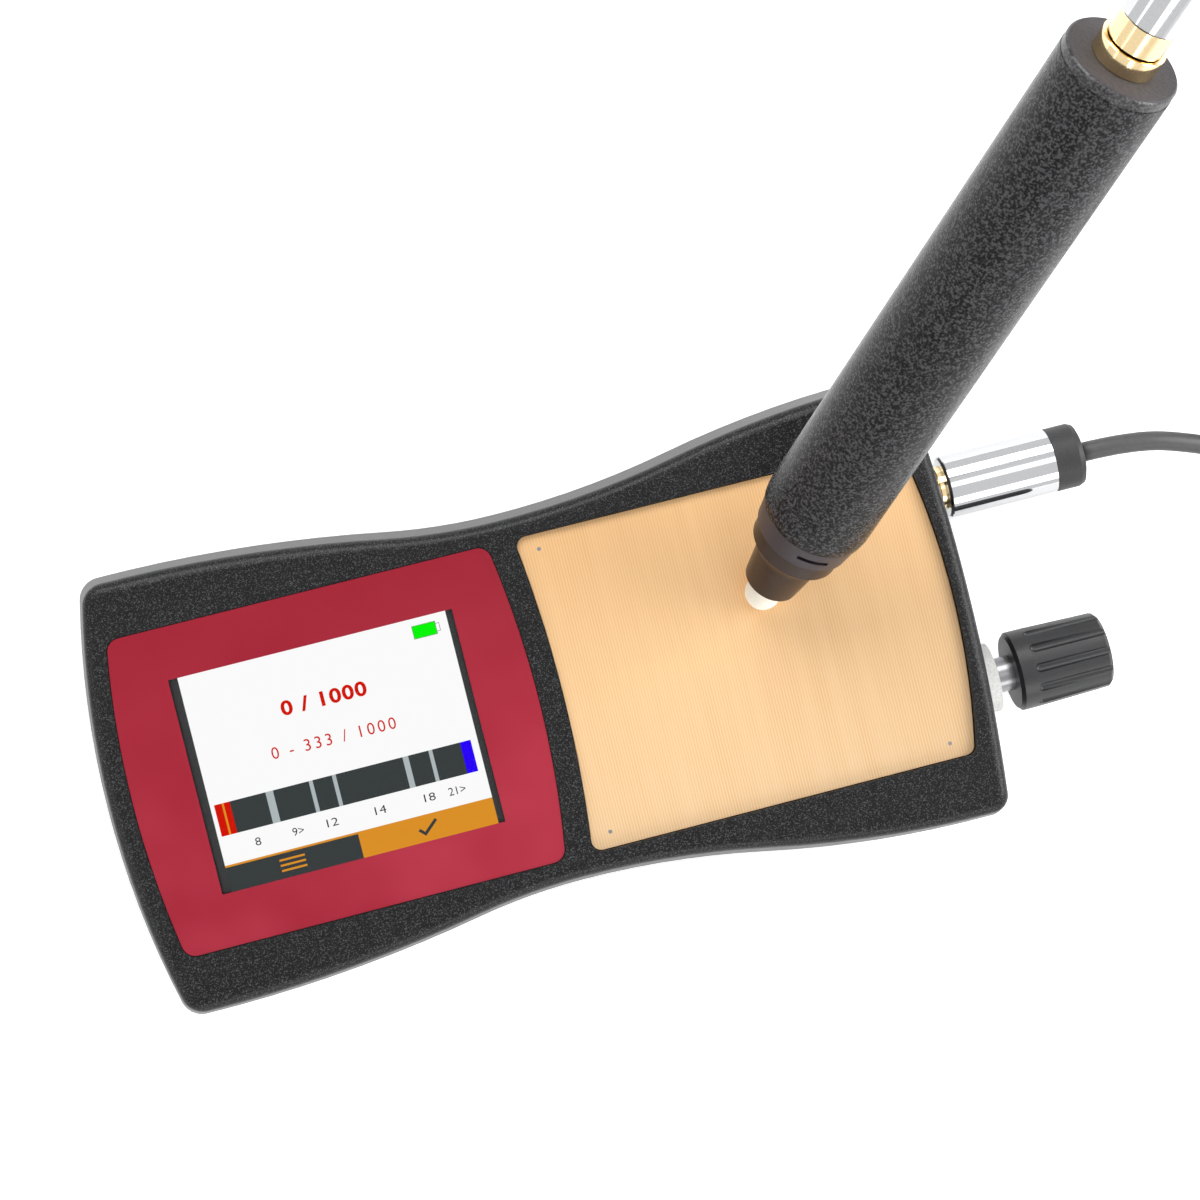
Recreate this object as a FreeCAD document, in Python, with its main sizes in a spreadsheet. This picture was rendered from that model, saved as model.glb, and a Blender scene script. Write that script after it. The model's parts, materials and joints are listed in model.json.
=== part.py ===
"""Bench gold tester: a waisted housing with a display and a test plate, and a contact pen on a lead.

Millimetres. +X runs from the display end to the connector end, +Z is up, and the origin is the
centre of the housing's footprint on the table.
"""
import FreeCAD, Part
import math
import os
import Sketcher

Vector = FreeCAD.Vector
Placement = FreeCAD.Placement
Rotation = FreeCAD.Rotation

SIZES = {
    # housing outline: crest positions along X, half widths at the crests and the waist
    "housing_length": 197.0,
    "display_crest_x": -85.0,
    "display_half_width": 49.5,
    "waist_x": -1.0,
    "waist_half_width": 41.8,
    "plate_crest_x": 90.0,
    "plate_half_width": 51.1,
    "display_end_bow": 200.0,
    "connector_end_bow": 442.0,
    "display_corner": 5.0,
    "connector_corner": 4.0,
    "convex_share_display": 0.71,
    "convex_share_plate": 0.55,
    # housing section
    "base_height": 0.8,
    "parting_height": 24.0,
    "top_height": 38.0,
    "top_draft": 2.2,
    "base_draft": 1.2,
    "top_edge_round": 2.6,
    "base_edge_round": 1.8,
    "wall": 2.5,
    "floor_thickness": 3.2,
    "roof_thickness": 3.0,
    "lip_height": 1.5,
    "lip_thickness": 1.1,
    "lip_gap": 0.1,
    # front foil and display
    "foil_left": -88.3,
    "foil_left_bow": 3.1,
    "foil_right": -4.2,
    "foil_right_bow": 2.9,
    "foil_half_width": 35.2,
    "foil_corner": 3.0,
    "foil_recess": 0.6,
    "foil_thickness": 0.4,
    "recess_gap": 0.2,
    "window_x": -46.25,
    "window_length": 62.9,
    "window_width": 47.6,
    "module_length": 76.0,
    "module_width": 55.0,
    "touch_thickness": 1.2,
    "module_gap": 0.1,
    "frame_depth": 3.2,
    "frame_wall": 2.8,
    "frame_floor": 0.8,
    "panel_thickness": 2.3,
    "board_thickness": 1.6,
    "display_board_length": 86.0,
    "display_board_width": 58.0,
    "display_screw_inset": 2.4,
    "display_screw_pitch": 40.0,
    # test plate
    "plate_left": 2.0,
    "plate_left_bow": 2.25,
    "plate_right": 89.0,
    "plate_right_bow": 3.8,
    "plate_half_width_y": 35.2,
    "plate_corner": 2.2,
    "plate_recess": 1.4,
    "plate_thickness": 1.6,
    "plate_tray_floor": 2.0,
    "plate_pin_radius": 0.45,
    "plate_pin_depth": 0.3,
    "pin_tail": 1.0,
    "plate_pin_inset_x": 4.8,
    "plate_pin_inset_y": 3.4,
    # connectors in the end wall
    "connector_height": 15.0,
    "connector_face_inset": 1.2,
    "connector_pad_depth": 3.5,
    "connector_pad_half_width": 10.0,
    "spot_face_radius": 8.4,
    "socket_y": 23.2,
    "socket_thread_radius": 4.1,
    "socket_rear": 13.0,
    "socket_flange_radius": 5.5,
    "socket_flange_thickness": 2.0,
    "socket_barrel_radius": 4.15,
    "socket_barrel_length": 9.0,
    "socket_bore_radius": 3.2,
    "socket_nut_flats": 11.0,
    "socket_nut_thickness": 2.2,
    "contact_radius": 2.1,
    "fit_gap": 0.05,
    # lead plugs
    "pin_radius": 1.6,
    "pin_reach": 5.0,
    "sleeve_gap": 0.25,
    "sleeve_radius": 5.0,
    "sleeve_cup_depth": 9.3,
    "sleeve_length": 13.0,
    "sleeve_showing": 1.4,
    "plug_barrel_radius": 7.35,
    "plug_barrel_length": 25.5,
    "plug_barrel_wall": 1.2,
    "plug_barrel_chamfer": 0.5,
    "collar_length": 7.0,
    "collar_spigot": 3.0,
    "collar_round": 1.5,
    "pen_sleeve_radius": 5.5,
    "pen_sleeve_showing": 5.4,
    "pen_plug_barrel_radius": 6.5,
    "pen_plug_barrel_length": 24.5,
    "pen_collar_length": 8.0,
    # binding post
    "post_y": -21.6,
    "post_hole_radius": 3.6,
    "post_rear": 16.0,
    "stud_radius": 2.0,
    "stud_reach": 17.7,
    "post_flange_radius": 7.9,
    "post_flange_thickness": 4.2,
    "post_bush_thickness": 2.0,
    "post_nut_flats": 7.0,
    "post_nut_thickness": 3.0,
    "post_lug_thickness": 0.6,
    "post_lug_radius": 5.0,
    "post_opening": 0.9,
    "insert_radius": 4.0,
    "insert_showing": 3.4,
    "insert_length": 20.0,
    "insert_web": 1.0,
    "cap_length": 22.0,
    "cap_inner_radius": 9.15,
    "cap_outer_radius": 8.7,
    "cap_flutes": 12,
    "cap_flute_radius": 1.1,
    "cap_flute_start": 4.0,
    "cap_round": 0.8,
    "banana_radius": 2.05,
    # battery bay and door
    "cell_radius": 7.1,
    "cell_length": 49.0,
    "cell_pitch": 15.0,
    "cell_nub_radius": 2.7,
    "cell_nub_length": 1.2,
    "spring_radius": 5.4,
    "cell_gap": 0.4,
    "bay_left": -87.0,
    "bay_length": 60.0,
    "bay_wall": 1.5,
    "bay_side_gap": 1.0,
    "door_thickness": 2.1,
    "door_gap": 0.2,
    "door_ledge": 2.0,
    "door_tongue": 1.3,
    "door_tongue_thickness": 1.0,
    "door_grip_width": 1.6,
    "door_grip_pitch": 3.2,
    "door_grip_count": 6,
    "door_grip_depth": 0.6,
    # housing screws, feet and main board
    "boss_radius": 3.5,
    "housing_screw_radius": 1.5,
    "housing_screw_length": 24.0,
    "screw_head_radius": 2.8,
    "screw_head_height": 1.8,
    "screw_recess": 2.2,
    "boss_display_x": -85.0,
    "boss_display_y": 41.0,
    "boss_waist_x": -19.0,
    "boss_waist_y": 35.2,
    "boss_plate_x": 80.0,
    "boss_plate_y": 41.5,
    "foot_radius": 4.0,
    "foot_depth": 1.0,
    "foot_display_x": -72.0,
    "foot_display_y": 41.0,
    "foot_plate_x": 66.0,
    "foot_plate_y": 38.0,
    "board_left": -13.0,
    "board_length": 86.0,
    "board_half_width": 31.0,
    "board_height": 15.0,
    "board_post_radius": 3.0,
    "board_post_inset": 5.0,
    "small_screw_radius": 1.1,
    "small_screw_length": 6.0,
    "small_head_radius": 2.2,
    "small_head_height": 1.4,
    "chip_height": 1.4,
    "header_height": 4.6,
    "capacitor_radius": 3.0,
    "capacitor_height": 8.0,
    "buzzer_radius": 6.0,
    "buzzer_height": 8.0,
    "wire_radius": 0.7,
    "ribbon_width": 16.0,
    "ribbon_thickness": 0.3,
    # pen, measured along its axis from the apex of the tip
    "pen_x": 49.82,
    "pen_y": 8.82,
    "pen_azimuth": 48.3,
    "pen_elevation": 47.5,
    "tip_clearance": 0.05,
    "tip_radius": 3.9,
    "tip_length": 12.0,
    "wick_radius": 2.2,
    "nose_start": 8.2,
    "nose_front_radius": 6.1,
    "nose_front_round": 0.5,
    "nose_waist_radius": 7.3,
    "nose_waist_at": 17.5,
    "nose_flange_radius": 9.8,
    "nose_flange_start": 20.5,
    "nose_flange_edge": 0.4,
    "ring_start": 25.0,
    "ring_front_radius": 10.7,
    "ring_rear_radius": 11.4,
    "ring_edge": 0.25,
    "ring_length": 5.8,
    "ring_slot_width": 7.0,
    "ring_slot_height": 1.0,
    "ring_slot_depth": 1.2,
    "ring_slot_turn": -161.0,
    "stem_radius": 7.0,
    "stem_length": 8.0,
    "seam_gap": 0.2,
    "seal_radius": 0.9,
    "barrel_front_radius": 11.7,
    "barrel_radius": 12.0,
    "barrel_rear_radius": 11.3,
    "barrel_round": 3.0,
    "barrel_wall": 2.4,
    "barrel_length": 126.1,
    "cap_thickness": 2.4,
    "pen_cap_radius": 11.2,
    "pen_cap_chamfer": 0.5,
    "cap_spigot": 6.0,
    "cartridge_radius": 8.2,
    "cartridge_length": 62.0,
    "cartridge_gap": 1.0,
    "electrode_radius": 1.0,
    "electrode_length": 70.0,
    "pen_flange_radius": 6.3,
    "pen_flange_thickness": 4.1,
    # lead
    "lead_radius": 2.25,
    "coil_x": 204.0,
    "coil_y": 31.0,
    "coil_radius": 24.0,
    "lead_rise": 22.0,
    "tie_width": 6.0,
    "tie_thickness": 0.8,
}

BEND_SHARE = 0.45


class Size(float):
    """A number that also carries the sheet formula it comes from."""

    def __new__(cls, value, formula):
        size = float.__new__(cls, value)
        size.formula = formula
        return size

    def __add__(self, other):
        return Size(float(self) + float(other), "(%s + %s)" % (self.formula, formula_of(other)))

    def __radd__(self, other):
        return Size(float(other) + float(self), "(%s + %s)" % (formula_of(other), self.formula))

    def __sub__(self, other):
        return Size(float(self) - float(other), "(%s - %s)" % (self.formula, formula_of(other)))

    def __rsub__(self, other):
        return Size(float(other) - float(self), "(%s - %s)" % (formula_of(other), self.formula))

    def __mul__(self, other):
        return Size(float(self) * float(other), "(%s * %s)" % (self.formula, formula_of(other)))

    __rmul__ = __mul__

    def __truediv__(self, other):
        return Size(float(self) / float(other), "(%s / %s)" % (self.formula, formula_of(other)))

    def __neg__(self):
        return Size(-float(self), "(0 - %s)" % self.formula)


def formula_of(value):
    """The sheet formula of a size, or the number itself."""
    return value.formula if isinstance(value, Size) else "(%r)" % float(value)


class SizeSheet:
    """The spreadsheet of driving dimensions; each one is read as an attribute."""

    def __init__(self, document, table):
        self.sheet = document.addObject("Spreadsheet::Sheet", "Sizes")
        for row, (name, value) in enumerate(table.items(), start=1):
            self.sheet.set("A%d" % row, name)
            self.sheet.set("B%d" % row, str(value))
            self.sheet.setAlias("B%d" % row, name)
            setattr(self, name, Size(value, "Sizes." + name))


doc = FreeCAD.newDocument("GoldTester")
s = SizeSheet(doc, SIZES)
doc.recompute()
nodes = []


# ---------------------------------------------------------------- helpers

def bind(thing, prop, value):
    """Set a property and, for a size, tie it to the sheet."""
    setattr(thing, prop, float(value))
    if isinstance(value, Size):
        thing.setExpression(prop, value.formula)


def origin_item(body, role):
    """A body's own origin plane or axis."""
    return next(item for item in body.Origin.OriginFeatures if item.Role == role)


def place_point(sketch, geometry, point, x, y):
    """Pin one sketch point to sheet-driven coordinates."""
    for kind, value in (("DistanceX", x), ("DistanceY", y)):
        index = sketch.addConstraint(Sketcher.Constraint(kind, -1, 1, geometry, point, float(value)))
        if isinstance(value, Size):
            sketch.setExpression("Constraints[%d]" % index, value.formula)


def draw(body, plane, corners, circles=()):
    """A closed outline of straight lines, with round holes, on one of the body's origin planes."""
    sketch = body.newObject("Sketcher::SketchObject", body.Name + "Sketch")
    sketch.AttachmentSupport = (origin_item(body, plane), [""])
    sketch.MapMode = "FlatFace"
    count = len(corners)
    for index, (x, y) in enumerate(corners):
        far_x, far_y = corners[(index + 1) % count]
        line = Part.LineSegment(Vector(x, y, 0), Vector(far_x, far_y, 0))
        sketch.addGeometry(line, False)
    for index in range(count):
        sketch.addConstraint(Sketcher.Constraint("Coincident", index, 2, (index + 1) % count, 1))
    for index, (x, y) in enumerate(corners):
        place_point(sketch, index, 1, x, y)
    for x, y, radius in circles:
        ring = sketch.addGeometry(Part.Circle(Vector(x, y, 0), Vector(0, 0, 1), float(radius)), False)
        place_point(sketch, ring, 3, x, y)
        index = sketch.addConstraint(Sketcher.Constraint("Radius", ring, float(radius)))
        if isinstance(radius, Size):
            sketch.setExpression("Constraints[%d]" % index, radius.formula)
    return sketch


def new_body(label, placement=None):
    """A PartDesign body that is one of the tester's pieces."""
    body = doc.addObject("PartDesign::Body", label)
    body.Label = label
    body.Placement = placement or Placement()
    nodes.append(body)
    return body


def turned(label, profile, placement=None):
    """A piece turned about its own Z axis: profile corners are (radius, height)."""
    body = new_body(label, placement)
    sketch = draw(body, "XZ_Plane", profile)
    turn = body.newObject("PartDesign::Revolution", label + "Turn")
    turn.Profile = sketch
    turn.ReferenceAxis = (sketch, ["V_Axis"])
    turn.Angle = 360.0
    return body


def plate(label, corners, thickness, holes=(), placement=None):
    """A flat piece cut to an outline, with round holes, lying on its own XY plane."""
    body = new_body(label, placement)
    pad = body.newObject("PartDesign::Pad", label + "Pad")
    pad.Profile = draw(body, "XY_Plane", corners, holes)
    bind(pad, "Length", thickness)
    return body


def hexagon(flats):
    """Corners of a hexagon with the given size across its flats."""
    reach = flats / math.sqrt(3.0)
    turns = [math.radians(60.0 * step) for step in range(6)]
    return [(reach * math.cos(turn), reach * math.sin(turn)) for turn in turns]


def ring_profile(inner, outer, low, high):
    """Profile of a plain ring or tube."""
    return [(inner, low), (outer, low), (outer, high), (inner, high)]


def feature(label, shape, placement=None):
    """A piece whose shape is worked out with Part's own functions."""
    piece = doc.addObject("Part::Feature", label)
    piece.Label = label
    piece.Shape = shape
    piece.Placement = placement or Placement()
    nodes.append(piece)
    return piece


def block(x_low, x_high, y_low, y_high, z_low, z_high):
    """A box between two corners."""
    return Part.makeBox(x_high - x_low, y_high - y_low, z_high - z_low, Vector(x_low, y_low, z_low))


def post(x, y, z_low, z_high, radius):
    """An upright cylinder."""
    return Part.makeCylinder(radius, z_high - z_low, Vector(x, y, z_low))


def joined(shapes):
    """One solid from overlapping solids."""
    return shapes[0].multiFuse(shapes[1:]).removeSplitter()


def without(shape, tools):
    """A solid less each of the tools."""
    return shape.cut(Part.makeCompound(tools)) if tools else shape


# ---------------------------------------------------------------- housing outline

half_length = s.housing_length / 2
wall_face_x = half_length - s.connector_face_inset


def arc(centre, radius, start, end):
    """An arc about a centre from one point to another, by the shorter way."""
    middle = (start + end) * 0.5 - centre
    middle.normalize()
    return Part.Arc(start, centre + middle * radius, end).toShape()


def circles_meet(centre_a, radius_a, centre_b, radius_b):
    """The upper crossing point of two circles in the XY plane."""
    span = centre_b - centre_a
    reach = span.Length
    along = (reach ** 2 + radius_a ** 2 - radius_b ** 2) / (2.0 * reach)
    rise = math.sqrt(radius_a ** 2 - along ** 2)
    unit = span / reach
    first = centre_a + unit * along + Vector(-unit.y, unit.x, 0) * rise
    second = centre_a + unit * along - Vector(-unit.y, unit.x, 0) * rise
    return first if first.y > second.y else second


def side_arcs(crest_x, crest_y, convex_share):
    """Centres and radii of the convex and the concave arc between a crest and the waist."""
    run = abs(s.waist_x - crest_x)
    drop = crest_y - s.waist_half_width
    radii = (run ** 2 + drop ** 2) / (2.0 * drop)
    convex = radii * convex_share
    concave = radii - convex
    return (Vector(crest_x, crest_y - convex, 0), convex,
            Vector(s.waist_x, s.waist_half_width + concave, 0), concave)


def end_corner(end_centre, end_radius, side_centre, side_radius, corner):
    """Where a rounded corner leaves the bowed end and where it meets the side, with its centre."""
    centre = circles_meet(end_centre, end_radius - corner, side_centre, side_radius - corner)
    from_end = (centre - end_centre).normalize()
    from_side = (centre - side_centre).normalize()
    return centre, end_centre + from_end * end_radius, side_centre + from_side * side_radius


def housing_outline(inset, height):
    """The waisted outline, moved inwards by the inset, as a wire at the given height."""
    bow_display = Vector(-half_length + s.display_end_bow, 0, 0)
    bow_connector = Vector(half_length - s.connector_end_bow, 0, 0)
    edges = []
    ends = []
    for crest_x, crest_y, share, bow, bow_radius, corner in (
            (s.display_crest_x, s.display_half_width, s.convex_share_display,
             bow_display, s.display_end_bow, s.display_corner),
            (s.plate_crest_x, s.plate_half_width, s.convex_share_plate,
             bow_connector, s.connector_end_bow, s.connector_corner)):
        bulge, bulge_radius, hollow, hollow_radius = side_arcs(crest_x, crest_y, share)
        towards = (hollow - bulge).normalize()
        joint = bulge + towards * (bulge_radius - inset)
        waist = Vector(s.waist_x, s.waist_half_width - inset, 0)
        centre, on_end, on_side = end_corner(bow, bow_radius - inset, bulge, bulge_radius - inset, corner)
        edges.append([arc(centre, corner, on_end, on_side),
                      arc(bulge, bulge_radius - inset, on_side, joint),
                      arc(hollow, hollow_radius + inset, joint, waist)])
        ends.append(on_end)
    upper = edges[0] + edges[1][::-1]
    lower = [edge.mirror(Vector(0, 0, 0), Vector(0, 1, 0)) for edge in upper]
    bows = []
    for on_end, crest in zip(ends, (-half_length + inset, half_length - inset)):
        flipped = Vector(on_end.x, -on_end.y, 0)
        bows.append(Part.Arc(flipped, Vector(crest, 0, 0), on_end).toShape())
    wire = Part.Wire(Part.__sortEdges__([bows[0]] + upper + [bows[1]] + lower[::-1]))
    wire.translate(Vector(0, 0, height))
    return wire


def drafted(inset_low, z_low, inset_high, z_high):
    """A solid between two housing outlines."""
    return Part.makeLoft([housing_outline(inset_low, z_low), housing_outline(inset_high, z_high)],
                         True, True)


def rim_edges(shape, height):
    """The edges that lie at one height."""
    return [edge for edge in shape.Edges
            if abs(edge.BoundBox.ZMin - height) < 1e-4 and abs(edge.BoundBox.ZMax - height) < 1e-4]


def arched_panel(left, left_bow, right, right_bow, half_width, corner, z_low, z_high, grow=0.0):
    """A plate with straight long edges, bowed short edges and rounded corners."""
    half = half_width + grow
    corners = [Vector(left - grow, -half, 0), Vector(right + grow, -half, 0),
               Vector(right + grow, half, 0), Vector(left - grow, half, 0)]
    wire = Part.Wire([
        Part.LineSegment(corners[0], corners[1]).toShape(),
        Part.Arc(corners[1], Vector(right + grow + right_bow, 0, 0), corners[2]).toShape(),
        Part.LineSegment(corners[2], corners[3]).toShape(),
        Part.Arc(corners[3], Vector(left - grow + left_bow, 0, 0), corners[0]).toShape()])
    solid = Part.Face(wire).extrude(Vector(0, 0, z_high - z_low))
    solid.translate(Vector(0, 0, z_low))
    upright = [edge for edge in solid.Edges if edge.BoundBox.ZLength > (z_high - z_low) / 2]
    return solid.makeFillet(corner + grow, upright)


def foil_panel(z_low, z_high, grow=0.0):
    """The front foil's outline as a solid."""
    return arched_panel(s.foil_left, -s.foil_left_bow, s.foil_right, s.foil_right_bow,
                        s.foil_half_width, s.foil_corner, z_low, z_high, grow)


def plate_panel(z_low, z_high, grow=0.0):
    """The test plate's outline as a solid."""
    return arched_panel(s.plate_left, s.plate_left_bow, s.plate_right, s.plate_right_bow,
                        s.plate_half_width_y, s.plate_corner, z_low, z_high, grow)


# ---------------------------------------------------------------- heights and places

floor_top = s.base_height + s.floor_thickness
roof_underside = s.top_height - s.roof_thickness
foil_seat = s.top_height - s.foil_recess
plate_top = s.top_height - s.plate_recess
plate_seat = plate_top - s.plate_thickness
tray_underside = plate_seat - s.plate_tray_floor
module_top = foil_seat - s.touch_thickness - s.module_gap
module_bottom = module_top - s.frame_depth
display_board_low = module_bottom - s.module_gap - s.board_thickness
door_top = s.base_height + s.door_thickness
bay_top = door_top + 2 * s.cell_radius + 2 * s.cell_gap
bay_half_width = s.cell_pitch * 2 + s.bay_side_gap
bay_right = s.bay_left + s.bay_length
door_right = bay_right + s.door_ledge
door_half_width = bay_half_width + s.door_ledge

housing_bosses = [(x, side * y) for side in (1, -1) for x, y in (
    (s.boss_display_x, s.boss_display_y),
    (s.boss_waist_x, s.boss_waist_y),
    (s.boss_plate_x, s.boss_plate_y))]
feet_places = [(x, side * y) for side in (1, -1) for x, y in (
    (s.foot_display_x, s.foot_display_y),
    (s.foot_plate_x, s.foot_plate_y))]
board_right = s.board_left + s.board_length
board_posts = [(x, side * (s.board_half_width - s.board_post_inset)) for side in (1, -1)
               for x in (s.board_left + s.board_post_inset, board_right - s.board_post_inset)]
display_board_left = s.window_x - s.display_board_length / 2
display_board_right = s.window_x + s.display_board_length / 2
display_posts = [(x, side * s.display_screw_pitch / 2) for side in (1, -1)
                 for x in (display_board_left + s.display_screw_inset,
                           display_board_right - s.display_screw_inset)]
plate_pins_at = [(x, side * (s.plate_half_width_y - s.plate_pin_inset_y)) for side in (1, -1)
                 for x in (s.plate_left + s.plate_pin_inset_x, s.plate_right - s.plate_pin_inset_x)]


# ---------------------------------------------------------------- housing

def top_cover():
    """Upper half: roof with the foil and plate recesses, window opening, bosses and rebate."""
    outer = drafted(0.0, s.parting_height, s.top_draft, s.top_height)
    outer = outer.makeFillet(s.top_edge_round, rim_edges(outer, s.top_height))
    hollow = drafted(s.wall, s.parting_height, s.wall + s.top_draft, roof_underside)
    rebate_inset = s.wall - s.lip_thickness - s.lip_gap
    rebate_top = s.parting_height + s.lip_height + s.lip_gap
    rebate = drafted(rebate_inset, s.parting_height, rebate_inset, rebate_top)
    rim_groove = rebate.cut(drafted(s.wall, s.parting_height, s.wall, rebate_top))
    tray = plate_panel(tray_underside, roof_underside, s.plate_tray_floor)
    boss_low = s.parting_height - s.boss_radius
    posts = [post(x, y, boss_low, roof_underside, s.boss_radius) for x, y in housing_bosses]
    posts += [post(x, y, display_board_low + s.board_thickness, roof_underside, s.small_head_radius)
              for x, y in display_posts]
    shell = joined([outer.cut(hollow).cut(rim_groove), tray] + posts)
    half_module = s.module_length / 2 + s.recess_gap
    opening = block(s.window_x - half_module, s.window_x + half_module,
                    -s.module_width / 2 - s.recess_gap, s.module_width / 2 + s.recess_gap,
                    tray_underside, s.top_height)
    screw_top = s.base_height + s.screw_recess + s.housing_screw_length
    tools = [foil_panel(foil_seat, s.top_height + 1, s.recess_gap),
             plate_panel(plate_seat, s.top_height + 1, s.recess_gap), opening]
    tools += [post(x, y, boss_low, screw_top + s.lip_height, s.housing_screw_radius)
              for x, y in housing_bosses]
    screw_tip = display_board_low + s.small_screw_length
    tools += [post(x, y, display_board_low, screw_tip + s.recess_gap, s.small_screw_radius)
              for x, y in display_posts]
    tools += [post(x, y, tray_underside - 1, plate_seat + 1, s.plate_pin_radius)
              for x, y in plate_pins_at]
    return without(shell, tools)


def bottom_cover():
    """Lower half: floor, walls with the lip, battery bay, screw posts and the connector face."""
    outer = drafted(s.base_draft, s.base_height, 0.0, s.parting_height)
    outer = outer.makeFillet(s.base_edge_round, rim_edges(outer, s.base_height))
    hollow = drafted(s.wall + s.base_draft, floor_top, s.wall, s.parting_height)
    lip_low = s.parting_height - s.lip_height
    lip_high = s.parting_height + s.lip_height
    lip = drafted(s.wall - s.lip_thickness, lip_low, s.wall - s.lip_thickness, lip_high)
    lip = lip.cut(drafted(s.wall, lip_low, s.wall, lip_high))
    bay = block(s.bay_left - s.bay_wall, bay_right + s.bay_wall, -bay_half_width - s.bay_wall,
                bay_half_width + s.bay_wall, s.base_height + s.door_thickness + s.door_gap,
                bay_top + s.bay_wall)
    bosses = [post(x, y, s.base_height, s.parting_height - s.boss_radius - s.lip_gap, s.boss_radius)
              for x, y in housing_bosses]
    posts = [post(x, y, s.base_height, s.board_height, s.board_post_radius) for x, y in board_posts]
    pads = [block(wall_face_x - s.connector_pad_depth, wall_face_x, y - s.connector_pad_half_width,
                  y + s.connector_pad_half_width, s.base_height + s.base_edge_round,
                  s.parting_height - s.lip_height) for y in (s.socket_y, s.post_y)]
    shell = joined([outer.cut(hollow), lip, bay] + bosses + posts + pads)
    cells_room = block(s.bay_left, bay_right, -bay_half_width, bay_half_width, s.base_height - 1, bay_top)
    beyond = -half_length - 1
    slot = block(beyond, door_right + s.door_gap, -door_half_width - s.door_gap,
                 door_half_width + s.door_gap, s.base_height - 1, door_top + s.door_gap)
    tongue = s.door_tongue + s.door_gap
    tongue_slot = block(beyond, door_right + s.door_gap, -door_half_width - tongue,
                        door_half_width + tongue, door_top - s.door_tongue_thickness - s.door_gap,
                        door_top + s.door_gap)
    tools = [cells_room, slot, tongue_slot]
    for x, y in housing_bosses:
        tools.append(post(x, y, s.base_height - 1, s.parting_height, s.housing_screw_radius + s.lip_gap))
        tools.append(post(x, y, s.base_height - 1, s.base_height + s.screw_recess,
                          s.screw_head_radius + s.recess_gap))
    tools += [post(x, y, s.board_height - s.small_screw_length, s.board_height, s.small_screw_radius)
              for x, y in board_posts]
    tools += [post(x, y, s.base_height - 1, s.base_height + s.foot_depth, s.foot_radius)
              for x, y in feet_places]
    for y, radius in ((s.socket_y, s.socket_thread_radius), (s.post_y, s.post_hole_radius)):
        hole = Part.makeCylinder(radius, 3 * s.connector_pad_depth,
                                 Vector(wall_face_x - 2 * s.connector_pad_depth, y, s.connector_height),
                                 Vector(1, 0, 0))
        face = Part.makeCylinder(s.spot_face_radius, s.connector_pad_depth,
                                 Vector(wall_face_x, y, s.connector_height), Vector(1, 0, 0))
        tools += [hole, face]
    return without(shell, tools)


def battery_door():
    """Sliding door in the base, with tongues in the grooves and finger ridges."""
    reach = block(-half_length - 1, door_right, -door_half_width, door_half_width,
                  s.base_height, door_top)
    tongues = block(-half_length - 1, door_right, -door_half_width - s.door_tongue,
                    door_half_width + s.door_tongue, door_top - s.door_tongue_thickness, door_top)
    outer = drafted(s.base_draft, s.base_height, 0.0, s.parting_height)
    outer = outer.makeFillet(s.base_edge_round, rim_edges(outer, s.base_height))
    door = joined([reach, tongues]).common(outer)
    grips = []
    for step in range(int(s.door_grip_count)):
        x = s.bay_left + s.door_ledge + s.door_grip_pitch * (step + 1)
        grips.append(block(x, x + s.door_grip_width, -s.cell_pitch, s.cell_pitch,
                           s.base_height - 1, s.base_height + s.door_grip_depth))
    return without(door, grips)


def front_foil():
    """Foil with the display window."""
    window = block(s.window_x - s.window_length / 2, s.window_x + s.window_length / 2,
                   -s.window_width / 2, s.window_width / 2, foil_seat - 1, s.top_height + 1)
    return foil_panel(foil_seat, foil_seat + s.foil_thickness).cut(window)


def test_plate():
    """Gold-plated plate with a small hole near each corner."""
    holes = [post(x, y, plate_seat - 1, plate_top + 1, s.plate_pin_radius) for x, y in plate_pins_at]
    return without(plate_panel(plate_seat, plate_top), holes)


feature("top_cover", top_cover())
feature("bottom_cover", bottom_cover())
feature("battery_door", battery_door())
feature("front_foil", front_foil())
feature("test_plate", test_plate())
feature("plate_pins", Part.makeCompound([
    post(x, y, tray_underside - s.pin_tail, plate_top - s.plate_pin_depth, s.plate_pin_radius)
    for x, y in plate_pins_at]))
feature("rubber_feet", Part.makeCompound([
    post(x, y, 0.0, s.base_height + s.foot_depth, s.foot_radius) for x, y in feet_places]))


def rectangle(length, width):
    """Corners of a rectangle about the origin."""
    return [(-length / 2, -width / 2), (length / 2, -width / 2),
            (length / 2, width / 2), (-length / 2, width / 2)]


def at(x, y, z):
    """A placement that only moves."""
    return Placement(Vector(x, y, z), Rotation())


plate("touch_panel", rectangle(s.module_length, s.module_width), s.touch_thickness,
      placement=at(s.window_x, 0, foil_seat - s.touch_thickness))
plate("display_panel", rectangle(s.module_length - 2 * s.frame_wall, s.module_width - 2 * s.frame_wall
                                 + s.frame_wall), s.panel_thickness,
      placement=at(s.window_x, 0, module_bottom + s.frame_floor + s.module_gap / 2))


# ---------------------------------------------------------------- display and boards

def display_frame():
    """Sheet-metal tray that holds the display panel."""
    low = module_bottom
    outer = block(s.window_x - s.module_length / 2, s.window_x + s.module_length / 2,
                  -s.module_width / 2, s.module_width / 2, low, module_top)
    half = s.module_length / 2 - s.frame_wall + s.module_gap
    pocket = block(s.window_x - half, s.window_x + half,
                   -(s.module_width - s.frame_wall) / 2 - s.module_gap,
                   (s.module_width - s.frame_wall) / 2 + s.module_gap, low + s.frame_floor, module_top + 1)
    return outer.cut(pocket)


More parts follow.
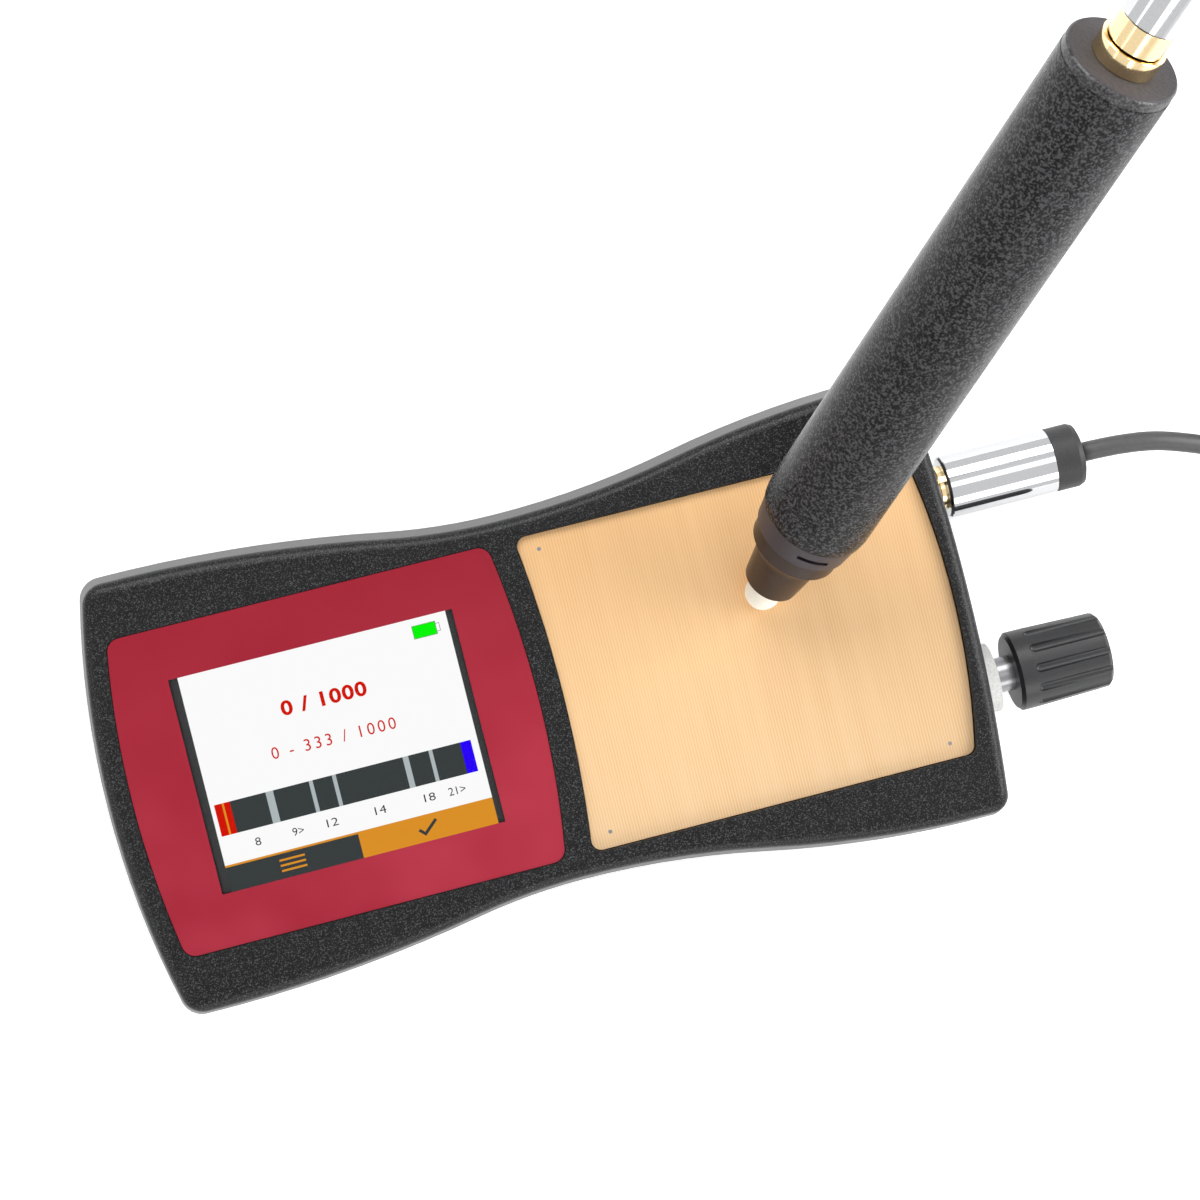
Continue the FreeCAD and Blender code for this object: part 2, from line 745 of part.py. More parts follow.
feature("display_frame", display_frame())
plate("display_board", rectangle(s.display_board_length, s.display_board_width), s.board_thickness,
      [(s.display_board_length / 2 - s.display_screw_inset, s.display_screw_pitch / 2, s.small_screw_radius),
       (s.display_board_length / 2 - s.display_screw_inset, -s.display_screw_pitch / 2, s.small_screw_radius),
       (s.display_screw_inset - s.display_board_length / 2, s.display_screw_pitch / 2, s.small_screw_radius),
       (s.display_screw_inset - s.display_board_length / 2, -s.display_screw_pitch / 2,
        s.small_screw_radius)],
      at(s.window_x, 0, display_board_low))
board_top = s.board_height + s.board_thickness
post_inset = s.board_length / 2 - s.board_post_inset
post_side = s.board_half_width - s.board_post_inset
plate("main_board", rectangle(s.board_length, s.board_half_width * 2), s.board_thickness,
      [(post_inset, post_side, s.small_screw_radius), (post_inset, -post_side, s.small_screw_radius),
       (-post_inset, post_side, s.small_screw_radius), (-post_inset, -post_side, s.small_screw_radius)],
      at(s.board_left + s.board_length / 2, 0, s.board_height))


def screw(x, y, head_z, length, radius, head_radius, head_height, upwards):
    """A screw with a crossed head; its shank runs up or down from the head's seat."""
    way = 1 if upwards else -1
    shank = Part.makeCylinder(radius, length, Vector(x, y, head_z), Vector(0, 0, way))
    head = Part.makeCylinder(head_radius, head_height, Vector(x, y, head_z), Vector(0, 0, -way))
    cross_z = head_z - way * head_height
    arm = head_radius * 0.7
    thin = head_radius * 0.2
    depth = head_height * 0.6
    low = min(cross_z, cross_z + way * depth)
    cross = block(x - arm, x + arm, y - thin, y + thin, low, low + depth).fuse(
        block(x - thin, x + thin, y - arm, y + arm, low, low + depth))
    return shank.fuse(head).removeSplitter().cut(cross)


feature("housing_screws", Part.makeCompound([
    screw(x, y, s.base_height + s.screw_recess, s.housing_screw_length, s.housing_screw_radius,
          s.screw_head_radius, s.screw_head_height, True) for x, y in housing_bosses]))
feature("display_screws", Part.makeCompound([
    screw(x, y, display_board_low, s.small_screw_length, s.small_screw_radius,
          s.small_head_radius, s.small_head_height, True) for x, y in display_posts]))
feature("board_screws", Part.makeCompound([
    screw(x, y, board_top, s.small_screw_length, s.small_screw_radius,
          s.small_head_radius, s.small_head_height, False) for x, y in board_posts]))


def board_components():
    """Processor, converter chips, capacitors and headers on the main board.

    Each chip or header is given by its start and end along the board, its two sides and its height.
    """
    chips = [(27, 35, -7, 7, s.chip_height), (43, 51, -4, 4, s.chip_height), (43, 49, 10, 15, s.chip_height),
             (57, 65, -24, -14, s.chip_height), (9, 15, 8, 20, s.header_height),
             (71, 79, -8, 8, s.header_height)]
    solids = [block(s.board_left + x_low, s.board_left + x_high, y_low, y_high, board_top, board_top + height)
              for x_low, x_high, y_low, y_high, height in chips]
    solids += [post(s.board_left + x, -18, board_top, board_top + s.capacitor_height, s.capacitor_radius)
               for x in (19, 27)]
    return Part.makeCompound(solids)


feature("board_components", board_components())
buzzer_place = at(s.board_left + s.board_length * 0.7, s.board_half_width * 0.55, board_top)
turned("buzzer", [(s.wire_radius, 0), (s.buzzer_radius, 0), (s.buzzer_radius, s.buzzer_height),
                  (s.wire_radius, s.buzzer_height)], buzzer_place)

ribbon_x = display_board_right - s.display_screw_inset - s.board_post_inset
ribbon_end_x = s.board_left + s.board_post_inset
ribbon_step = display_board_low - board_top
ribbon_bend_high = display_board_low - ribbon_step * 0.35
ribbon_bend_low = board_top + ribbon_step * 0.3
ribbon_face_x = ribbon_end_x - s.ribbon_thickness
ribbon = new_body("ribbon_cable", at(0, s.ribbon_width / 2, 0))
ribbon_pad = ribbon.newObject("PartDesign::Pad", "RibbonPad")
ribbon_pad.Profile = draw(ribbon, "XZ_Plane", [
    (ribbon_x, display_board_low), (ribbon_x, ribbon_bend_high),
    (ribbon_face_x, ribbon_bend_low), (ribbon_face_x, board_top),
    (ribbon_end_x, board_top), (ribbon_end_x, ribbon_bend_low + s.ribbon_thickness / 2),
    (ribbon_x + s.ribbon_thickness, ribbon_bend_high + s.ribbon_thickness / 2),
    (ribbon_x + s.ribbon_thickness, display_board_low)])
bind(ribbon_pad, "Length", s.ribbon_width)


# ---------------------------------------------------------------- battery bay

cell_z = door_top + s.cell_radius + s.cell_gap
cell_low_x = s.bay_left + (s.bay_length - s.cell_length) / 2
cell_rows = [s.cell_pitch * (row - 1.5) for row in range(4)]


def cell(y, positive_right):
    """A round cell lying along X, with its positive nub at one end."""
    body = Part.makeCylinder(s.cell_radius, s.cell_length, Vector(cell_low_x, y, cell_z), Vector(1, 0, 0))
    way = 1 if positive_right else -1
    start = cell_low_x + (s.cell_length if positive_right else 0.0)
    nub = Part.makeCylinder(s.cell_nub_radius, s.cell_nub_length, Vector(start, y, cell_z),
                            Vector(way, 0, 0))
    return body.fuse(nub).removeSplitter()


def battery_contacts():
    """A tapered spring at each negative end and a flat tab at each positive end."""
    solids = []
    cell_high_x = cell_low_x + s.cell_length
    tab = s.cell_nub_radius
    for row, y in enumerate(cell_rows):
        if row % 2 == 0:
            spring_length = cell_low_x - s.bay_left
            foot, way = Vector(s.bay_left, y, cell_z), Vector(1, 0, 0)
            tab_low, tab_high = cell_high_x + s.cell_nub_length, bay_right
        else:
            spring_length = bay_right - cell_high_x
            foot, way = Vector(bay_right, y, cell_z), Vector(-1, 0, 0)
            tab_low, tab_high = s.bay_left, cell_low_x - s.cell_nub_length
        solids.append(Part.makeCone(s.spring_radius, s.cell_nub_radius, spring_length, foot, way))
        solids.append(block(tab_low, tab_high, y - tab, y + tab, cell_z - tab, cell_z + tab))
    return Part.makeCompound(solids)


feature("cells", Part.makeCompound([cell(y, row % 2 == 0) for row, y in enumerate(cell_rows)]))
feature("battery_contacts", battery_contacts())


# ---------------------------------------------------------------- round tubes along a route

def route_wire(points):
    """Straight runs joined by tangent arcs, each as large as its two runs allow, and the arc radii."""
    edges = []
    radii = []
    start = points[0]
    for before, corner, after in zip(points, points[1:], points[2:]):
        back = (before - corner).normalize()
        ahead = (after - corner).normalize()
        half_turn = (math.pi - back.getAngle(ahead)) / 2.0
        trim = BEND_SHARE * min((corner - before).Length, (after - corner).Length)
        radius = trim / math.tan(half_turn)
        radii.append(radius)
        first = corner + back * trim
        last = corner + ahead * trim
        inwards = (back + ahead).normalize()
        middle = corner + inwards * (radius / math.cos(half_turn) - radius)
        edges.append(Part.LineSegment(start, first).toShape())
        edges.append(Part.Arc(first, middle, last).toShape())
        start = last
    edges.append(Part.LineSegment(start, points[-1]).toShape())
    return Part.Wire(edges), radii


def tube(points, radius, name):
    """A round tube along a route, with its length, arc radii and volume reported."""
    wire, radii = route_wire(points)
    start = (points[1] - points[0]).normalize()
    section = Part.Wire([Part.makeCircle(radius, points[0], start)])
    solid = wire.makePipeShell([section], True, False)
    expected = math.pi * radius ** 2 * wire.Length
    print("%s: length %.1f, smallest arc %.1f, volume share %.4f"
          % (name, wire.Length, min(radii) if radii else 0.0, solid.Volume / expected))
    return solid


# ---------------------------------------------------------------- sockets and plugs

def lead_socket(name, place, flange_radius, flange_thickness, rear):
    """A gold phono socket: threaded body with a flange, insulator and centre contact."""
    face = rear
    barrel_low = face + flange_thickness
    top = barrel_low + s.socket_barrel_length
    turned(name + "_body", [
        (s.socket_bore_radius, 0), (s.socket_thread_radius, 0), (s.socket_thread_radius, face),
        (flange_radius, face), (flange_radius, barrel_low), (s.socket_barrel_radius, barrel_low),
        (s.socket_barrel_radius, top - s.plug_barrel_chamfer),
        (s.socket_barrel_radius - s.plug_barrel_chamfer, top), (s.socket_bore_radius, top)], place)
    turned(name + "_insulator", ring_profile(s.contact_radius, s.socket_bore_radius, 1, top - 1), place)
    bore_depth = flange_thickness + s.socket_barrel_length + s.pin_reach
    contact_low = -s.post_bush_thickness
    turned(name + "_contact", [
        (0, contact_low), (s.wire_radius, contact_low), (s.wire_radius, 1), (s.contact_radius, 1),
        (s.contact_radius, top - 2), (s.pin_radius + s.fit_gap, top - 2),
        (s.pin_radius + s.fit_gap, top - bore_depth), (0, top - bore_depth)], place)


def lead_plug(name, place, sleeve_radius, sleeve_showing, barrel_radius, barrel_length, collar_length):
    """A phono plug: pin, insulator, gold sleeve, chrome barrel and black collar; Z runs to the lead."""
    mouth = s.pin_reach
    cup = mouth + s.sleeve_cup_depth
    sleeve_top = mouth + s.sleeve_length
    barrel_low = mouth + sleeve_showing
    barrel_high = barrel_low + barrel_length
    collar_high = barrel_high + collar_length
    chamfer = s.plug_barrel_chamfer
    bore = barrel_radius - s.plug_barrel_wall
    insulator_radius = s.socket_bore_radius
    turned(name + "_pin", [
        (0, 0), (s.pin_radius - chamfer, 0), (s.pin_radius, chamfer * 2), (s.pin_radius, sleeve_top + 2),
        (0, sleeve_top + 2)], place)
    turned(name + "_insulator", ring_profile(s.pin_radius, insulator_radius, cup, sleeve_top + 1), place)
    turned(name + "_sleeve", [
        (s.socket_barrel_radius + s.fit_gap, mouth), (sleeve_radius, mouth), (sleeve_radius, sleeve_top),
        (insulator_radius, sleeve_top), (insulator_radius, cup),
        (s.socket_barrel_radius + s.fit_gap, cup)], place)
    turned(name + "_barrel", [
        (sleeve_radius, barrel_low), (barrel_radius - chamfer, barrel_low),
        (barrel_radius, barrel_low + chamfer), (barrel_radius, barrel_high), (bore, barrel_high),
        (bore, sleeve_top), (sleeve_radius, sleeve_top)], place)
    edge = s.collar_round
    turned(name + "_collar", [
        (0, barrel_high - s.collar_spigot), (bore, barrel_high - s.collar_spigot), (bore, barrel_high),
        (barrel_radius, barrel_high), (barrel_radius, collar_high - edge),
        (barrel_radius - edge * 0.29, collar_high - edge * 0.29), (barrel_radius - edge, collar_high),
        (0, collar_high)], place)
    return collar_high


along_x = Rotation(Vector(0, 0, 1), Vector(1, 0, 0))
socket_place = Placement(Vector(wall_face_x - s.socket_rear, s.socket_y, s.connector_height), along_x)
lead_socket("socket", socket_place, s.socket_flange_radius, s.socket_flange_thickness, s.socket_rear)
nut_place = Placement(Vector(wall_face_x - s.connector_pad_depth - s.socket_nut_thickness, s.socket_y,
                             s.connector_height), along_x)
plate("socket_nut", hexagon(s.socket_nut_flats), s.socket_nut_thickness,
      [(0, 0, s.socket_thread_radius)], nut_place)

plug_x = wall_face_x + s.socket_flange_thickness + s.sleeve_gap - s.pin_reach
plug_place = Placement(Vector(plug_x, s.socket_y, s.connector_height), along_x)
plug_end_x = plug_x + lead_plug("device_plug", plug_place, s.sleeve_radius, s.sleeve_showing,
                                s.plug_barrel_radius, s.plug_barrel_length, s.collar_length)


# ---------------------------------------------------------------- binding post

def along_post(distance):
    """A placement on the post's axis, a distance out from the wall's face."""
    return Placement(Vector(wall_face_x + distance, s.post_y, s.connector_height), along_x)


stud_length = s.post_rear + s.stud_reach
turned("post_stud", [(0, 0), (s.stud_radius, 0), (s.stud_radius, stud_length), (0, stud_length)],
       along_post(-s.post_rear))
turned("post_flange", ring_profile(s.stud_radius, s.post_flange_radius, 0, s.post_flange_thickness),
       along_post(0))
bush_low = -s.connector_pad_depth - s.post_bush_thickness
turned("post_bush", [
    (s.stud_radius, 0), (s.post_flange_radius, 0), (s.post_flange_radius, s.post_bush_thickness),
    (s.post_hole_radius, s.post_bush_thickness),
    (s.post_hole_radius, s.post_bush_thickness + s.connector_pad_depth),
    (s.stud_radius, s.post_bush_thickness + s.connector_pad_depth)], along_post(bush_low))


def post_nuts():
    """Two hexagon nuts behind the bush, with the solder lug between them."""
    solids = []
    gap = s.post_lug_thickness
    for start in (bush_low - s.post_nut_thickness, bush_low - 2 * s.post_nut_thickness - gap):
        corners = [Vector(0, x, y) for x, y in hexagon(s.post_nut_flats)]
        nut = Part.Face(Part.makePolygon(corners + corners[:1])).extrude(Vector(s.post_nut_thickness, 0, 0))
        nut = nut.cut(Part.makeCylinder(s.stud_radius, s.post_nut_thickness, Vector(0, 0, 0),
                                        Vector(1, 0, 0)))
        nut.translate(Vector(wall_face_x + start, s.post_y, s.connector_height))
        solids.append(nut)
    return Part.makeCompound(solids)


lug_low = bush_low - s.post_nut_thickness - s.post_lug_thickness
feature("post_nuts", post_nuts())
turned("post_lug", ring_profile(s.stud_radius, s.post_lug_radius, 0, s.post_lug_thickness),
       along_post(lug_low))

insert_low = s.post_flange_thickness + s.post_opening
cap_low = insert_low + s.insert_showing
cap_high = cap_low + s.cap_length
insert_high = insert_low + s.insert_length
web_low = s.stud_reach + s.post_opening + s.fit_gap - insert_low
running = s.stud_radius + s.fit_gap
turned("post_insert", [
    (running, 0), (s.insert_radius, 0), (s.insert_radius, s.insert_length),
    (s.banana_radius, s.insert_length), (s.banana_radius, web_low + s.insert_web),
    (0, web_low + s.insert_web), (0, web_low), (running, web_low)], along_post(insert_low))


def post_cap():
    """Fluted cap with a bore for the metal insert and a banana hole in its end."""
    sleeve = s.insert_radius + s.fit_gap
    sleeve_top = insert_high - cap_low + s.fit_gap
    profile = [(sleeve, 0), (s.cap_inner_radius - s.cap_round, 0), (s.cap_inner_radius, s.cap_round),
               (s.cap_inner_radius, s.cap_flute_start), (s.cap_outer_radius, s.cap_length - s.cap_round),
               (s.cap_outer_radius - s.cap_round, s.cap_length), (s.banana_radius, s.cap_length),
               (s.banana_radius, sleeve_top), (sleeve, sleeve_top)]
    corners = [Vector(radius, 0, height) for radius, height in profile]
    face = Part.Face(Part.makePolygon(corners + corners[:1]))
    body = face.revolve(Vector(0, 0, 0), Vector(0, 0, 1), 360)
    flutes = []
    for step in range(int(s.cap_flutes)):
        turn = math.radians(360.0 * step / s.cap_flutes)
        reach = s.cap_outer_radius + s.cap_flute_radius * 0.45
        low = Vector(reach * math.cos(turn), reach * math.sin(turn), s.cap_flute_start + s.cap_flute_radius)
        groove = Part.makeCylinder(s.cap_flute_radius, s.cap_length, low, Vector(0, 0, 1))
        flutes.append(groove.fuse(Part.makeSphere(s.cap_flute_radius, low)))
    return body.cut(Part.makeCompound(flutes))


feature("post_cap", post_cap(), along_post(cap_low))
post_cap_end_x = wall_face_x + cap_high


# ---------------------------------------------------------------- pen

azimuth = math.radians(s.pen_azimuth)
elevation = math.radians(s.pen_elevation)
pen_axis = Vector(math.cos(elevation) * math.cos(azimuth), math.cos(elevation) * math.sin(azimuth),
                  math.sin(elevation))
apex_height = plate_top + s.tip_clearance + s.tip_radius * (1.0 - math.sin(elevation))
pen_apex = Vector(s.pen_x, s.pen_y, apex_height)
pen_turn = Rotation(Vector(0, 0, 1), s.pen_azimuth) * Rotation(Vector(0, 1, 0), 90.0 - s.pen_elevation)


def along_pen(distance):
    """A placement on the pen's axis, a distance up from the apex of its tip."""
    return Placement(pen_apex + pen_axis * distance, pen_turn)


ring_top = s.ring_start + s.ring_length
barrel_low = ring_top + s.seam_gap
barrel_high = barrel_low + s.barrel_length
pen_top = barrel_high + s.cap_thickness
stem_top = ring_top + s.stem_length
bore_radius = s.barrel_rear_radius - s.barrel_wall
nose_rear = s.ring_start - s.seam_gap


def turned_solid(profile):
    """A Part solid turned about Z from (radius, height) corners."""
    corners = [Vector(radius, 0, height) for radius, height in profile]
    return Part.Face(Part.makePolygon(corners + corners[:1])).revolve(Vector(0, 0, 0), Vector(0, 0, 1), 360)


def pen_tip():
    """Porous tip with a round nose and a thin wick behind it."""
    ball = Part.makeSphere(s.tip_radius, Vector(0, 0, s.tip_radius))
    ball = ball.common(Part.makeCylinder(s.tip_radius, s.tip_radius))
    rod = Part.makeCylinder(s.tip_radius, s.tip_length - s.tip_radius, Vector(0, 0, s.tip_radius))
    wick = Part.makeCylinder(s.wick_radius, stem_top - s.tip_length, Vector(0, 0, s.tip_length))
    return joined([ball, rod, wick])


def pen_seal():
    """Round seal in the stem's groove, standing out just enough to meet the barrel's bore."""
    return Part.makeTorus(s.stem_radius - s.seal_radius + s.fit_gap, s.seal_radius,
                          Vector(0, 0, ring_top + s.stem_length / 2))


def bent(first, middle, last):
    """An arc in the turning plane through three (radius, height) points."""
    return Part.Arc(*[Vector(radius, 0, height) for radius, height in (first, middle, last)]).toShape()


def straight(points):
    """Straight edges in the turning plane through (radius, height) points."""
    places = [Vector(radius, 0, height) for radius, height in points]
    return [Part.LineSegment(first, last).toShape() for first, last in zip(places, places[1:])]


def spun(edges):
    """A solid turned about Z from the closed outline of these edges."""
    return Part.Face(Part.Wire(edges)).revolve(Vector(0, 0, 0), Vector(0, 0, 1), 360)


def pen_nose():
    """Slim nose that flares to a flange, with a stem that turns in the barrel's front bore."""
    front_flat = (s.nose_front_radius - s.nose_front_round, s.nose_start)
    front_middle = (s.nose_front_radius - s.nose_front_round * 0.3, s.nose_start + s.nose_front_round * 0.3)
    front_side = (s.nose_front_radius, s.nose_start + s.nose_front_round)
    waist = (s.nose_waist_radius, s.nose_waist_at)
    flange = (s.nose_flange_radius - s.nose_flange_edge, s.nose_flange_start)
    flare = (waist[0] + (flange[0] - waist[0]) * 0.35, waist[1] + (flange[1] - waist[1]) * 0.6)
    rest = [flange, (s.nose_flange_radius, s.nose_flange_start + s.nose_flange_edge),
            (s.nose_flange_radius, nose_rear), (s.stem_radius, nose_rear), (s.stem_radius, stem_top),
            (s.wick_radius, stem_top), (s.wick_radius, s.tip_length), (s.tip_radius, s.tip_length),
            (s.tip_radius, s.nose_start), front_flat]
    outline = [bent(front_flat, front_middle, front_side)] + straight([front_side, waist])
    outline += [bent(waist, flare, flange)] + straight(rest)
    return spun(outline).cut(pen_seal())


def lock_ring():
    """Tapered ring on the nose's stem, with a coin slot in its side."""
    front = s.ring_front_radius
    rear = s.ring_rear_radius
    edge = s.ring_edge
    ring = turned_solid([
        (s.stem_radius, s.ring_start), (front - edge, s.ring_start), (front, s.ring_start + edge),
        (rear, ring_top - edge), (rear - edge, ring_top), (s.stem_radius, ring_top)])
    middle = s.ring_start + s.ring_length / 2
    slot_floor = (front + rear) / 2 - s.ring_slot_depth
    slot = block(slot_floor, rear + 1, -s.ring_slot_width / 2, s.ring_slot_width / 2,
                 middle - s.ring_slot_height / 2, middle + s.ring_slot_height / 2)
    slot.rotate(Vector(0, 0, 0), Vector(0, 0, 1), s.ring_slot_turn)
    return ring.cut(slot)


def pen_barrel():
    """Tapered barrel tube with a rounded front end and a narrow front bore for the nose's stem."""
    front_bore = s.stem_radius + s.fit_gap * 2
    shoulder = ring_top + s.stem_length + s.cartridge_gap
    front = (s.barrel_front_radius, barrel_low)
    middle = (s.barrel_front_radius + (s.barrel_radius - s.barrel_front_radius) * 0.68,
              barrel_low + s.barrel_round * 0.4)
    full = (s.barrel_radius, barrel_low + s.barrel_round)
    rest = [full, (s.barrel_rear_radius, barrel_high), (bore_radius, barrel_high), (bore_radius, shoulder),
            (front_bore, shoulder), (front_bore, barrel_low), front]
    return spun([bent(front, middle, full)] + straight(rest))


feature("pen_tip", pen_tip(), along_pen(0))
feature("pen_nose", pen_nose(), along_pen(0))
feature("lock_ring", lock_ring(), along_pen(0))
feature("pen_seal", pen_seal(), along_pen(0))
feature("pen_barrel", pen_barrel(), along_pen(0))
cap_chamfer = s.pen_cap_chamfer
turned("pen_end_cap", [
    (s.socket_thread_radius, 0), (bore_radius, 0), (bore_radius, s.cap_spigot),
    (s.pen_cap_radius, s.cap_spigot),
    (s.pen_cap_radius, s.cap_spigot + s.cap_thickness - cap_chamfer),
    (s.pen_cap_radius - cap_chamfer, s.cap_spigot + s.cap_thickness),
    (s.socket_thread_radius, s.cap_spigot + s.cap_thickness)], along_pen(barrel_high - s.cap_spigot))
cartridge_low = stem_top + s.cartridge_gap
turned("gel_cartridge", ring_profile(s.electrode_radius, s.cartridge_radius, 0, s.cartridge_length),
       along_pen(cartridge_low))
turned("electrode_rod", [(0, 0), (s.electrode_radius, 0), (s.electrode_radius, s.electrode_length),
                         (0, s.electrode_length)], along_pen(cartridge_low))
pen_socket_low = pen_top - s.socket_rear
electrode_top = cartridge_low + s.electrode_length
pen_wire_length = pen_socket_low - s.post_bush_thickness - electrode_top
turned("pen_wire", [(0, 0), (s.wire_radius, 0), (s.wire_radius, pen_wire_length), (0, pen_wire_length)],
       along_pen(electrode_top))
lead_socket("pen_socket", along_pen(pen_socket_low), s.pen_flange_radius, s.pen_flange_thickness,
            s.socket_rear)
pen_plug_low = pen_top + s.pen_flange_thickness + s.sleeve_gap - s.pin_reach
pen_plug_high = pen_plug_low + lead_plug(
    "pen_plug", along_pen(pen_plug_low), s.pen_sleeve_radius, s.pen_sleeve_showing, s.pen_plug_barrel_radius,
    s.pen_plug_barrel_length, s.pen_collar_length)


# ---------------------------------------------------------------- lead

lead_start = Vector(plug_end_x, s.socket_y, s.connector_height)
lead_end = pen_apex + pen_axis * pen_plug_high
coil_outer = s.coil_radius + 2 * s.lead_radius
coil_inner = s.coil_radius - 2 * s.lead_radius
floor_run = [lead_start, lead_start + Vector(s.lead_radius * 6, 0, 0), Vector(161.5, 19.0, 12.2),
             Vector(176.0, 12.8, 7.4), Vector(189.5, 8.0, 3.4), Vector(200.0, 7.0, 2.3)]
pen_run = [Vector(228.0, 36.0, 2.3), Vector(228.3, 49.0, 3.6), Vector(228.7, 64.0, 11.5),
           Vector(229.0, 79.0, 29.0), Vector(228.5, 92.0, 56.0), Vector(227.0, 104.0, 89.0),
           Vector(224.5, 114.5, 123.0), Vector(219.3, 124.6, 155.0), Vector(210.0, 132.5, 182.5),
           Vector(192.4, 137.6, 203.2), Vector(169.7, 133.8, 210.0),
           lead_end + pen_axis * s.lead_rise, lead_end]
feature("lead_floor_run", tube(floor_run, s.lead_radius, "lead_floor_run"))
feature("lead_pen_run", tube(pen_run, s.lead_radius, "lead_pen_run"))
feature("lead_coil", turned_solid(ring_profile(coil_inner, coil_outer, 0, 4 * s.lead_radius)),
        at(s.coil_x, s.coil_y, 0))


def coil_tie():
    """A flat tie wrapped round the coil's turns on the side away from the housing."""
    x_low = s.coil_x - s.tie_width / 2
    y_low = s.coil_y + coil_inner
    y_high = s.coil_y + coil_outer
    top = 4 * s.lead_radius
    thick = s.tie_thickness
    outer = block(x_low, x_low + s.tie_width, y_low - thick, y_high + thick, 0.0, top + thick)
    sweep = Part.makeCylinder(coil_outer, top, Vector(s.coil_x, s.coil_y, 0)).cut(
        Part.makeCylinder(coil_inner, top, Vector(s.coil_x, s.coil_y, 0)))
    return outer.cut(sweep)


feature("coil_tie", coil_tie())


# ---------------------------------------------------------------- inner leads

def inner_leads():
    """Wires from the battery, the socket, the post and the test plate to the main board."""
    wire_high = board_top + s.small_head_height + 2 * s.wire_radius
    board_end = board_right - s.board_post_inset
    landing_x = board_end - 4
    bay_x = bay_right + s.bay_wall
    ribbon_side_x = s.board_left + s.board_post_inset + 2 * s.wire_radius
    routes = [[Vector(bay_x, side * 10, cell_z), Vector(bay_x + 6, side * 10, cell_z),
               Vector(bay_x + 8.5, side * 11.5, wire_high + 3),
               Vector(ribbon_side_x, side * 13, wire_high + 3),
               Vector(ribbon_side_x, side * 13, board_top)] for side in (1, -1)]
    tail_x = wall_face_x - s.socket_rear - s.post_bush_thickness
    socket_wire_y = s.socket_y - s.socket_thread_radius
    routes.append([Vector(tail_x, s.socket_y, s.connector_height),
                   Vector(tail_x - 5, s.socket_y, s.connector_height),
                   Vector(board_end + 1, socket_wire_y, wire_high + 4),
                   Vector(landing_x, socket_wire_y, wire_high + 4),
                   Vector(landing_x, socket_wire_y, board_top)])
    lug_x = wall_face_x + lug_low + s.post_lug_thickness / 2
    lug_top = s.connector_height + s.post_lug_radius
    post_wire_y = s.post_y + s.post_nut_flats / 2
    routes.append([Vector(lug_x, s.post_y, lug_top), Vector(lug_x, s.post_y, lug_top + 6),
                   Vector(board_end + 1, post_wire_y, lug_top + 6),
                   Vector(landing_x, post_wire_y, lug_top + 4), Vector(landing_x, post_wire_y, board_top)])
    pin_x, pin_y = plate_pins_at[1]
    pin_low = tray_underside - s.pin_tail
    routes.append([Vector(pin_x, pin_y, pin_low), Vector(pin_x, pin_y, pin_low - 4),
                   Vector(pin_x - 9, pin_y - 12, pin_low - 5), Vector(board_end, pin_y - 24, pin_low - 5),
                   Vector(board_end, pin_y - 24, board_top)])
    return Part.makeCompound([tube(route, s.wire_radius, "inner lead") for route in routes])


feature("inner_leads", inner_leads())


# ---------------------------------------------------------------- write the pieces

doc.recompute()
for item in doc.Objects:
    if "Invalid" in item.State or "Error" in item.State:
        raise RuntimeError("%s did not compute" % item.Label)
for node in nodes:
    if node.Shape.isNull() or not node.Shape.isValid():
        raise RuntimeError("%s has no valid shape" % node.Label)
os.makedirs("parts", exist_ok=True)
for node in nodes:
    node.Shape.exportStep("parts/%s.step" % node.Label)
print("%d pieces written" % len(nodes))
print("device plug end x %.2f, cap end x %.2f, pen apex %s, lead end %s"
      % (plug_end_x, post_cap_end_x, pen_apex, lead_end))
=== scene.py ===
"""Looks of the gold tester: finishes, studio, turned metal, lead and display picture, around its frame."""
import json
import math

import bmesh
import bpy
from mathutils import Matrix, Vector


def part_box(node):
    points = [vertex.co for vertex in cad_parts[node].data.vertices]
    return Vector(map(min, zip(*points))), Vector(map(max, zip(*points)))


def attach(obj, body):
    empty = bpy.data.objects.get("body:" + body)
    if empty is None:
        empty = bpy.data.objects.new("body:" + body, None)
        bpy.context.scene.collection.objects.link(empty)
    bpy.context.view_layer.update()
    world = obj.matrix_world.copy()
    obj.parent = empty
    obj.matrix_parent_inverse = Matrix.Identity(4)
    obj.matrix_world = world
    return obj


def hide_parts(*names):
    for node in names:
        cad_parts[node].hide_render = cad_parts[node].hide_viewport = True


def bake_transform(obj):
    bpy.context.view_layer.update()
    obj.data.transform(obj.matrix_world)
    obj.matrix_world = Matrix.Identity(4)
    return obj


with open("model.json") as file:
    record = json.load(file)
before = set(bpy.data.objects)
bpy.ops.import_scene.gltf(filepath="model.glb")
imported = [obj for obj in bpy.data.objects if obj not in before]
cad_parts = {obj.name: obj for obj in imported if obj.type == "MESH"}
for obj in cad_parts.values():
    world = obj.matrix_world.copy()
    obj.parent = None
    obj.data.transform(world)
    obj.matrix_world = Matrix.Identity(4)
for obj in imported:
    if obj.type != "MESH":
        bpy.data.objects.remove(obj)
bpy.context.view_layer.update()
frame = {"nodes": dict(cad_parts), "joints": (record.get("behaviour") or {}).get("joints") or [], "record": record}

MM = 0.001
NODES = frame["nodes"]
JOINTS = {joint["name"]: joint for joint in frame["joints"]}


# ---------------------------------------------------------------- finishes as expressions

def srgb(red, green, blue):
    """A display colour, 0 to 255, as the linear colour that a shader takes."""
    def linear(level):
        level /= 255.0
        return level / 12.92 if level <= 0.04045 else ((level + 0.055) / 1.055) ** 2.4
    return (linear(red), linear(green), linear(blue), 1.0)


